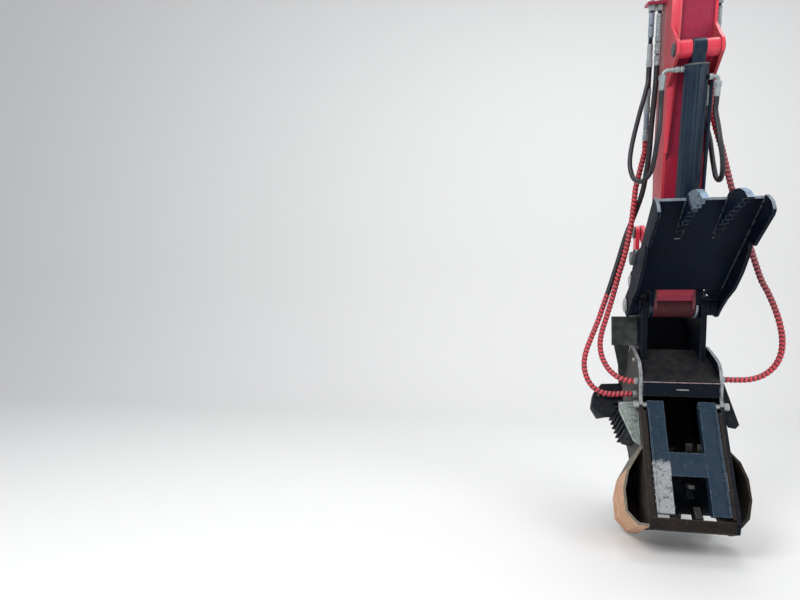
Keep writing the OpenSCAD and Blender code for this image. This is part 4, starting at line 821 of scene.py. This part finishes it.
# CAD nodes whose edges are rounded: the piece's name, its finish and the rounding
roundedNodes = {
    "stick": ("stickBox", "armRed", 0.0025), "stick_sides": ("stickSides", "skyLitSideRed", 0.0025),
    "bucket_bracket": ("bucketBracket", "armRed", 0.0025), "tail_bosses": ("tailBosses", "armRed", 0.0015),
    # The bracket bosses and the lever plates take the brightened red: painted highlight
    "thumb_bracket_bosses": ("bracketBosses", "edgeRed", 0.0015),
    "left_bulkhead": ("bulkheadLeft", "armRed", 0.0015),
    "right_bulkhead": ("bulkheadRight", "armRed", 0.0015),
    "levers": ("leverPlates", "edgeRed", 0.002), "link": ("linkPlates", "linkageBlack", 0.0025),
    "bucket_barrel": ("bucketBarrel", "cylinderBlack", 0.002),
    "thumb_barrel": ("thumbBarrel", "cylinderBlack", 0.003),
    "thumb_plate": ("thumbPlate", "thumbSteel", 0.003), "thumb_walls": ("thumbWalls", "thumbSteel", 0.003),
    "thumb_tines": ("thumbTines", "tineSteel", 0.003), "thumb_ears": ("thumbEars", "thumbSteel", 0.003),
    "head_ears": ("headEars", "headBlack", 0.003), "head_cross_plate": ("crossPlate", "headBlack", 0.002),
    "head_side_left": ("sidePlateLeft", "sideDusty", 0.003),
    "head_side_right": ("sidePlateRight", "headBlack", 0.003), "head_deck": ("hoodDeck", "headBlack", 0.002),
    "head_front_wall": ("hoodFront", "hoodBrown", 0.002), "head_lip": ("hoodLip", "hoodBrown", 0.0025),
    "edge_bars": ("edgeBars", "hoodBrown", 0.0025), "rotor_guard": ("rotorGuard", "guardRust", 0.0025),
    "bearing_guard": ("bearingGuard", "hoodBrown", 0.0025), "belt_cover": ("beltCover", "headBlack", 0.0025),
    "guard_wings": ("guardWings", "wingGrey", 0.002), "left_flange": ("flangeLeft", "flangeDark", 0.0025),
    "drum_motor": ("drumMotor", "headBlack", 0.003), "drum_bearing": ("drumBearing", "headBlack", 0.003),
    "gate": ("gateLadder", "gateSkyTinted", 0.003), "drum": ("drumBody", "headBlack", 0.0025),
    "drum_teeth": ("drumTeeth", "toothSteel", 0.002), "nose_pin": ("nosePinBar", "bareSteel", 0.002),
    "lever_pivot_pin": ("leverPin", "bareSteel", 0.0015),
    "bucket_base_pin": ("bucketBasePin", "bareSteel", 0.0015),
    "thumb_base_pin": ("thumbBasePin", "darkSteel", 0.0015),
    "lever_link_pins": ("leverLinkPins", "darkSteel", 0.0015),
    "link_pin": ("linkPinBar", "bareSteel", 0.0015), "thumb_rod_pins": ("thumbRodPins", "darkSteel", 0.0015),
    "gate_pins": ("gateHingePins", "bareSteel", 0.0015),
    "left_line_tubes": ("lineTubesLeft", "platedSteel", 0.0008),
    "belly_fitting": ("bellyFitting", "platedSteel", 0.001),
    "thumb_oil_tube": ("oilTube", "cylinderBlack", 0.001), "head_ports": ("headPorts", "platedSteel", 0.001),
}
# Heights up the stick: below the nose height the red is darkened, a painted shade; above the side height the
# side plates' front faces take a brightened red, a painted highlight
zoneEnds = {"shadedNose": 0.075, "litSide": 0.16, "redLink": 0.2, "brownRim": -2.3}  # heights in metres
facing = {  # how far a face's normal points along an axis
    "front": -0.7, "sideways": 0.7, "edge": 0.3, "up": 0.25,
    "thumbEnd": 0.7, "tipAhead": 0.15, "tipRise": 0.1}
thumbAlong = axisOf(thumbFrame, 0, 1, 0)
thumbRise = axisOf(thumbFrame, 0, 0, 1)


def upStick(face):
    return (stickFrame.inverted() @ face.calc_center_median()).z


def onThumbEnd(face):
    return face.normal.dot(thumbAlong) > facing["thumbEnd"]


def onEdge(face):
    return abs(face.normal.x) < facing["edge"]


def onRim(face):
    return onEdge(face) and face.calc_center_median().z > zoneEnds["brownRim"]


def onTip(face):
    rise, ahead = face.normal.dot(thumbRise), face.normal.dot(thumbAlong)
    return rise < facing["tipRise"] and ahead > facing["tipAhead"]


def onSideFront(face):
    return face.normal.y < facing["front"] and upStick(face) > zoneEnds["litSide"]


def onSideFoot(face):
    return abs(face.normal.x) < facing["sideways"] and upStick(face) <= zoneEnds["litSide"]


zones = {
    # The stick's nose takes the darkened red: painted shade
    "stick": [("shadedRed", lambda face: upStick(face) < zoneEnds["shadedNose"])],
    # The side plates' front faces take the brightened red, a painted highlight, and their foot faces the
    # darkened red, a painted shade
    "stick_sides": [("edgeRed", onSideFront), ("shadedRed", onSideFoot)],
    # The link's upper end takes the brightened red: painted highlight
    "link": [("edgeRed", lambda face: upStick(face) > zoneEnds["redLink"])],
    "rotor_guard": [("guardTan", lambda face: face.normal.z > facing["up"])],
    "guard_wings": [("headBlack", lambda face: face.calc_center_median().x > 0)],
    # The thumb's end faces and the tines' front faces take the pale finishes: painted highlight with wear
    "thumb_plate": [("litWornLip", onThumbEnd)],
    "thumb_tines": [("tineTip", onTip)],
    "thumb_walls": [("litWornLip", onThumbEnd)],
    "head_side_left": [("rimWorn", onRim), ("hoodBrown", lambda face: onEdge(face) and not onRim(face))],
    "head_side_right": [("rimWorn", onRim)],
}
for node, (name, material, width) in roundedNodes.items():
    roundedNode(node, name, material, width, zones.get(node, ()))
for node in ("bucket_rod", "thumb_rod"):
    frame["nodes"][node].data.materials.clear()
    frame["nodes"][node].data.materials.append(materials["rodChrome"])
print("rounded nodes:", len(roundedNodes))


# Line fittings: from the bulkhead down, each column is a row of nuts, ribbed sleeves and collars
columnKinds = {  # radius, material number, sides
    "nut": (0.0146, 0, 6), "bigNut": (0.016, 0, 6), "collar": (0.0128, 0, 20), "neck": (0.0085, 4, 16),
    "sleeve": (0.0125, 1, 20), "ribs": (0.0130, 2, 20), "redRibs": (0.0130, 3, 20), "gap": (0.0095, 4, 16)}
# The red ribs take the darkened red too: painted shade
columnMaterials = ("platedSteel", "sleeveGrey", "platedSteel", "shadedRed", "cylinderBlack")
columns = {  # where each column stands, and its parts' lengths in millimetres
    "left_line_fittings": {
        (-0.154, 0.06): [
            ("bigNut", 26), ("neck", 9), ("sleeve", 52), ("gap", 4), ("sleeve", 48), ("gap", 30),
            ("ribs", 70), ("nut", 30.3)],
        (-0.12, 0.06): [
            ("bigNut", 28), ("neck", 13), ("collar", 14), ("ribs", 82), ("nut", 24), ("gap", 4), ("nut", 24),
            ("collar", 6), ("nut", 20), ("gap", 6), ("nut", 28), ("collar", 16.3)],
        (-0.146, 0.102): [
            ("bigNut", 26), ("neck", 20), ("gap", 190), ("redRibs", 130), ("nut", 30), ("ribs", 50),
            ("nut", 30), ("sleeve", 80), ("collar", 20), ("nut", 31.3)]},
    "right_line_fittings": {
        (0.122, 0.02): [("bigNut", 26), ("neck", 10), ("ribs", 60), ("nut", 20), ("collar", 26)]},
}
columnValues = {
    "top": 1.4237, "nutCut": 0.1, "collarCut": 0.06, "collarEase": 0.001,
    "ribStep": 0.014, "ribDepth": 0.16, "ribRise": 0.002, "ribFall": (0.003, 0.001),
    "sleeveDepth": 0.1, "sleeveEnd": 0.92, "sleeveEase": 0.002, "groove": (0.3, 0.32, 0.36, 0.38),
    "riserAt": (0.122, 0.02, 1.424), "riserRadius": 0.008, "riserLength": 0.276}


def columnProfile(kind, radius, length):
    values = columnValues
    if kind in ("nut", "bigNut"):
        return eased(length, radius, radius * values["nutCut"])
    if kind in ("ribs", "redRibs"):
        count = max(3, round(length / values["ribStep"]))
        step, low = length / count, radius * (1 - values["ribDepth"])
        rise, (high, foot) = values["ribRise"], values["ribFall"]
        return [pair for k in range(count) for pair in (
            (k * step, low), (k * step + rise, radius), ((k + 1) * step - high, radius),
            ((k + 1) * step - foot, low))]
    if kind == "sleeve":
        low, end = radius * (1 - values["sleeveDepth"]), radius * values["sleeveEnd"]
        ease = values["sleeveEase"]
        groove = zip((length * part for part in values["groove"]), (radius, low, low, radius))
        return [(0, end), (ease, radius), *groove, (length - ease, radius), (length, end)]
    return eased(length, radius, radius * values["collarCut"], values["collarEase"])


def buildColumns():
    for node, rows in columns.items():
        bm = bmesh.new()
        for at, parts in rows.items():
            low = columnValues["top"]
            for kind, size in parts:
                radius, index, sides = columnKinds[kind]
                low -= size / 1000
                profile = columnProfile(kind, radius, size / 1000)
                turnedSolid(bm, stickFrame @ shift(*at, low), profile, sides, index)
        if node == "right_line_fittings":
            radius = columnValues["riserRadius"]
            turnedSolid(bm, stickFrame @ shift(*columnValues["riserAt"]),
                        [(0, radius), (columnValues["riserLength"], radius)], 16)
        name = "fittingColumns" + ("Left" if node.startswith("left") else "Right")
        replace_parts(finishPiece(bm, name, columnMaterials, "stick"), node)


# Elbows on the thumb's barrel; sizes are a length, a radius and how far the ends step in
elbows = {
    "thumb_left_elbow": {
        "name": "elbowLeft", "at": (-0.137, 0.082, 0.0), "root": 0.0503, "bend": 0.024},
    "thumb_right_fitting": {
        "name": "elbowRight", "at": (0.082, 0.122, -0.034), "root": 0.0457, "bend": 0.014},
}
elbowShape = {
    "tube": 0.0082, "straight": 0.034, "rootNut": (0.0135, 0.0138, 0.0013), "longReach": 0.03,
    "onLong": [(0.019, 6, (0.0175, 0.0128, 0.0013)), (0.042, 18, (0.008, 0.0106, 0.0008, 0.001))],
    "hoseNutAt": 0.02, "hoseNut": (0.022, 0.016, 0.0012), "ferruleAt": 0.0215,
    "ferrule": [(0, 0.011), (0.002, 0.013), (0.012, 0.013), (0.0135, 0.0118), (0.0155, 0.0118),
                (0.017, 0.013), (0.038, 0.013), (0.0405, 0.0118)]}


def buildElbows():
    # A bent tube from a nut on the barrel round to the hose's nut and ferrule
    shape = elbowShape
    for node, values in elbows.items():
        (x, y, z), root, bend = values["at"], values["root"], values["bend"]
        side = -1 if x < 0 else 1
        corner = Vector((x - side * bend, y + bend, z))
        arc = [math.radians(degrees) for degrees in range(0, 91, 10)]
        points = [Vector((side * root, y, z)),
                  *(corner + bend * Vector((side * math.sin(turn), -math.cos(turn), 0)) for turn in arc),
                  Vector((x, y + shape["straight"], z))]
        bm = bmesh.new()
        bentTube(bm, [thumbLineFrame @ point for point in points], shape["tube"])
        inward = thumbLineFrame @ shift(side * root, y, z) @ Matrix.Rotation(math.radians(90 * side), 4, "Y")
        turnedSolid(bm, inward, eased(*shape["rootNut"]), 6)
        if abs(x) - root - bend > shape["longReach"]:
            for start, sides, sizes in shape["onLong"]:
                turnedSolid(bm, inward @ shift(0, 0, start), eased(*sizes), sides)
        onward = thumbLineFrame @ shift(x, y + shape["hoseNutAt"], z) @ alongY
        turnedSolid(bm, onward, eased(*shape["hoseNut"]), 6)
        turnedSolid(bm, onward @ shift(0, 0, shape["ferruleAt"]), shape["ferrule"])
        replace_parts(finishPiece(bm, values["name"], "platedSteel", "thumb_barrel"), node)


buildColumns()
buildElbows()
print("fittings built")


# The stick's belly: a bar along its left corner that narrows to a notch, and a cover plate from there down
bellyValues = {
    "edge": (-0.0948, -0.0664), "widths": ((1.43, 0.041), (1.33, 0.041), (1.05, 0.035), (0.757, 0.018)),
    "section": [(0, 0, 0.004), (0, 0, 0), (0.7, 0, -0.009), (1, 0, -0.006), (1, 0, 0.0085),
                (0, 0.008, 0.0085)],
    "barEase": 0.0015, "barAngle": 12, "coverY": -0.0575, "coverThickness": 0.0078,
    "cover": [(-0.0825, 0.07), (0.0825, 0.07), (0.0825, 0.75), (-0.06, 0.75), (-0.0765, 0.722),
              (-0.0825, 0.722)]}


def buildBelly():
    # A point of the bar's section is a share of its width, and steps across and out
    values = bellyValues
    x, y = values["edge"]
    bm = bmesh.new()
    joinRings(bm, [[bm.verts.new(stickFrame @ Vector((x + width * share + across, y + out, z)))
                    for share, across, out in values["section"]] for z, width in values["widths"]])
    bmesh.ops.recalc_face_normals(bm, faces=bm.faces)
    bevelSharp(bm, values["barEase"], 2, values["barAngle"])
    # The bar takes the brightened red: painted highlight
    finishPiece(bm, "bellyCornerBar", "edgeRed", "stick")
    bm = bmesh.new()
    under = stickFrame @ shift(0, values["coverY"], 0) @ turnX(90)
    plateSolid(bm, under, values["cover"], values["coverThickness"])
    finishPiece(bm, "bellyCover", "coverRed", "stick")


# Rings beside the nose boss and round the thumb's barrel: start, length, radius and material number
ringRows = {
    "noseCollar": {
        "body": "stick", "material": ("platedSteel", "cylinderBlack"), "place": stickFrame @ alongX,
        "rings": [(0.0955, 0.006, 0.057, 1), (0.1018, 0.01, 0.062, 0), (0.1122, 0.003, 0.058, 1)]},
    "noseCollarLeft": {
        "body": "stick", "material": ("darkSteel", "cylinderBlack"), "place": stickFrame @ alongX,
        "rings": [(-0.1155, 0.004, 0.062, 0), (-0.1112, 0.0155, 0.059, 1)]},
    "barrelRim": {
        "body": "thumb_barrel", "material": ("darkSteel", "cylinderBlack"), "place": thumbLineFrame @ alongY,
        "rings": [(0.0625, 0.007, 0.0518, 0), (0.0725, 0.012, 0.0512, 1), (0.742, 0.004, 0.0553, 0)]},
}


def buildRings():
    for name, values in ringRows.items():
        bm = bmesh.new()
        for start, length, radius, index in values["rings"]:
            profile = eased(length, radius, 0.002, 0.001)
            turnedSolid(bm, values["place"] @ shift(0, 0, start), profile, 48, index)
        finishPiece(bm, name, values["material"], values["body"])


# The thumb: webs and sleeves between its walls and its ears, and weld beads along the walls and the tines
thumbValues = {
    "web": [(0.132, 0.137), (0.2015, 0.137), (0.2015, 0.02), (0.1575, 0.02), (0.1575, 0.085), (0.132, 0.1)],
    "webZ": -0.016, "webThickness": 0.014, "sleeve": (0.041, 0.05, 0.002, 0.002), "sleeveX": (0.159, 0.2),
    "wallX": 0.1995, "tineX": 0.077, "tineHalf": 0.0145,  # each bead: start, end, z, radius
    "wallBead": (0.15, 0.755, 0.001, 0.0045), "tineBead": (0.56, 0.757, 0.0012, 0.0035)}


def buildThumbDetails():
    values = thumbValues
    bm = bmesh.new()
    for side in (-1, 1):
        outline = [(side * x, y) for x, y in values["web"]]
        plateSolid(bm, thumbFrame @ shift(0, 0, values["webZ"]), outline, values["webThickness"])
        low = min(side * x for x in values["sleeveX"])
        turnedSolid(bm, thumbFrame @ alongX @ shift(0, 0, low), eased(*values["sleeve"]), 36)
    finishPiece(bm, "thumbWebs", "thumbSteel", "thumb")
    bm = bmesh.new()
    for side in (-1, 1):
        rows = [(side * values["wallX"], values["wallBead"])]
        rows += [(side * values["tineX"] + way * values["tineHalf"], values["tineBead"]) for way in (-1, 1)]
        for x, (start, end, z, radius) in rows:
            weldBead(bm, thumbFrame, (x, start, z), (x, end, z), radius)
    finishPiece(bm, "thumbWelds", "thumbSteel", "thumb", 60)


# The head: the guard's closed end, the block on the belt cover, beads, the slot bar and the gate's worn end
guardEndValues = {
    "y": 0.326, "thickness": 0.008,
    "outline": [(-0.1885, -0.216), (-0.197, -0.222), (-0.2555, -0.318), (-0.2775, -0.402), (-0.2745, -0.494),
                (-0.2335, -0.542), (-0.177, -0.546), (-0.177, -0.44), (-0.1885, -0.42)]}
beltBlockValues = {
    "y": 0.155, "thickness": 0.09, "ease": 0.004, "boltAt": (-0.31, 0.064, 0.06), "boltStep": 0.028,
    "bolts": 3,
    "bolt": [(0, 0.009), (0.006, 0.009), (0.007, 0.008)],
    "outline": [(-0.247, -0.004), (-0.282, -0.02), (-0.372, -0.04), (-0.4, 0.012), (-0.39, 0.07),
                (-0.348, 0.122), (-0.247, 0.128)]}
headBeadValues = {  # start, end, radius, material number
    "deck": ((-0.169, -0.3294, -0.2482), (0.169, -0.3294, -0.2482), 0.0032, 0),
    "left": ((-0.1695, -0.36, -0.305), (-0.1695, -0.331, -0.252), 0.004, 1),
    "right": ((0.1695, -0.36, -0.305), (0.1695, -0.331, -0.252), 0.004, 1)}
slotValues = {
    "at": (0.0065, -0.3445, -0.278), "half": 0.0255, "round": 0.003, "thickness": 0.003, "ease": 0.0006,
    "boltAt": (-0.1885, -0.179, -0.215), "washer": [(-0.001, 0.013), (0.002, 0.013)], "headFrom": 0.002,
    "bolt": [(0, 0.0095), (0.006, 0.0095), (0.0075, 0.0085)]}
gateBeadValues = {
    "rows": ((-0.154, -0.45, -0.285), (0.154, -0.385, -0.315)), "count": 7, "y": -0.0165, "length": 0.003,
    "radius": 0.0032, "endY": -0.0155, "endThickness": 0.003,
    "end": [(-0.152, -0.4985), (-0.083, -0.4985), (-0.083, -0.4925), (-0.152, -0.4925)]}


def acrossGate(y):
    return gateFrame @ shift(0, y, 0) @ turnX(90)


def buildHeadDetails():
    values = guardEndValues
    bm = bmesh.new()
    plateSolid(bm, acrossGate(values["y"]), values["outline"], values["thickness"])
    finishPiece(bm, "guardEnd", "hoodBrown", "head")
    values = beltBlockValues
    bm = bmesh.new()
    plateSolid(bm, acrossGate(values["y"]), values["outline"], values["thickness"], width=values["ease"])
    x, y, z = values["boltAt"]
    for k in range(values["bolts"]):
        turnedSolid(bm, gateFrame @ shift(x - values["boltStep"] * k, y, z) @ turnX(90), values["bolt"], 6, 1)
    finishPiece(bm, "beltBlock", ("headBlack", "darkSteel"), "head")
    bm = bmesh.new()
    for bead in headBeadValues.values():
        weldBead(bm, headFrame, *bead)
    finishPiece(bm, "headBeads", ("wornLine", "headBlack"), "head", 60)
    values = slotValues
    bm = bmesh.new()
    turns = [(side, math.radians(degrees)) for side in (1, -1) for degrees in range(-90, 91, 30)]
    half, radius = values["half"], values["round"]
    ends = [(side * (half + radius * math.cos(turn)), side * radius * math.sin(turn)) for side, turn in turns]
    slot = headFrame @ shift(*values["at"]) @ turnX(90)
    plateSolid(bm, slot, ends, values["thickness"], width=values["ease"])
    bolt = headFrame @ shift(*values["boltAt"]) @ alongX @ turnX(180)
    turnedSolid(bm, bolt, values["washer"])
    turnedSolid(bm, bolt @ shift(0, 0, values["headFrom"]), values["bolt"], 6)
    finishPiece(bm, "deckSlotBar", "bareSteel", "head")
    values = gateBeadValues
    bm = bmesh.new()
    for x, low, high in values["rows"]:
        for k in range(values["count"]):
            spot = gateFrame @ Vector((x, values["y"], low + (high - low) * k / (values["count"] - 1)))
            weldBead(bm, Matrix.Translation(spot), (0, 0, 0), (0, 0, values["length"]), values["radius"])
    plateSolid(bm, acrossGate(values["endY"]), values["end"], values["endThickness"])
    finishPiece(bm, "gateBeads", "rimWorn", "gate", 60)


buildBelly()
buildRings()
buildThumbDetails()
buildHeadDetails()
print("details built")


# Floor, backdrop and lights
stageValues = {
    "under": 0.012, "front": -9.0, "back": 3.2, "bend": 1.6, "height": 9, "half": 9,
    "floor": (0.78, 0.78, 0.77, 1), "rough": 0.9, "world": (0.93, 0.95, 1.0, 1), "worldPower": 0.55}
lights = {
    "keyLight": {"place": (-3.2, -3.6, 1.6), "aim": (0, 0.3, -1.5), "size": 2.4, "power": 210},
    "fillLight": {"place": (3.4, -2.6, 0.2), "aim": (0, 0.3, -1.6), "size": 2.8, "power": 80},
    "topLight": {"place": (0.4, 0.6, 2.8), "aim": (0, 0.3, -1.5), "size": 2.6, "power": 120},
}


def buildStage():
    values = stageValues
    low, back, bend = cadBox[0][2] - values["under"], values["back"], values["bend"]
    arc = [math.radians(degrees) for degrees in range(10, 91, 10)]
    profile = [(values["front"], low), (back, low),
               *((back + bend * math.sin(turn), low + bend - bend * math.cos(turn)) for turn in arc),
               (back + bend, low + values["height"])]
    bm = bmesh.new()
    rows = [[bm.verts.new((x, y, z)) for x in (-values["half"], values["half"])] for y, z in profile]
    for first, second in zip(rows, rows[1:]):
        bm.faces.new((first[0], first[1], second[1], second[0]))
    floor = addObject("studioFloor", meshFrom(bm, "studioFloor", 60))
    material, _, shader = newMaterial("floorPaper")
    shader.inputs["Base Color"].default_value = values["floor"]
    shader.inputs["Roughness"].default_value = values["rough"]
    floor.data.materials.append(material)


def buildLights():
    for name, values in lights.items():
        data = bpy.data.lights.new(name, "AREA")
        data.size = values["size"]
        data.energy = values["power"]
        light = addObject(name, data)
        light.location = values["place"]
        towards = Vector(values["aim"]) - light.location
        light.rotation_euler = towards.to_track_quat("-Z", "Y").to_euler()
    world = bpy.data.worlds.new("studioWorld")
    bpy.context.scene.world = world
    world.use_nodes = True
    background = world.node_tree.nodes["Background"]
    background.inputs["Color"].default_value = stageValues["world"]
    background.inputs["Strength"].default_value = stageValues["worldPower"]


buildStage()
buildLights()
bpy.context.scene.view_settings.view_transform = "Standard"
print("stage and lights set")
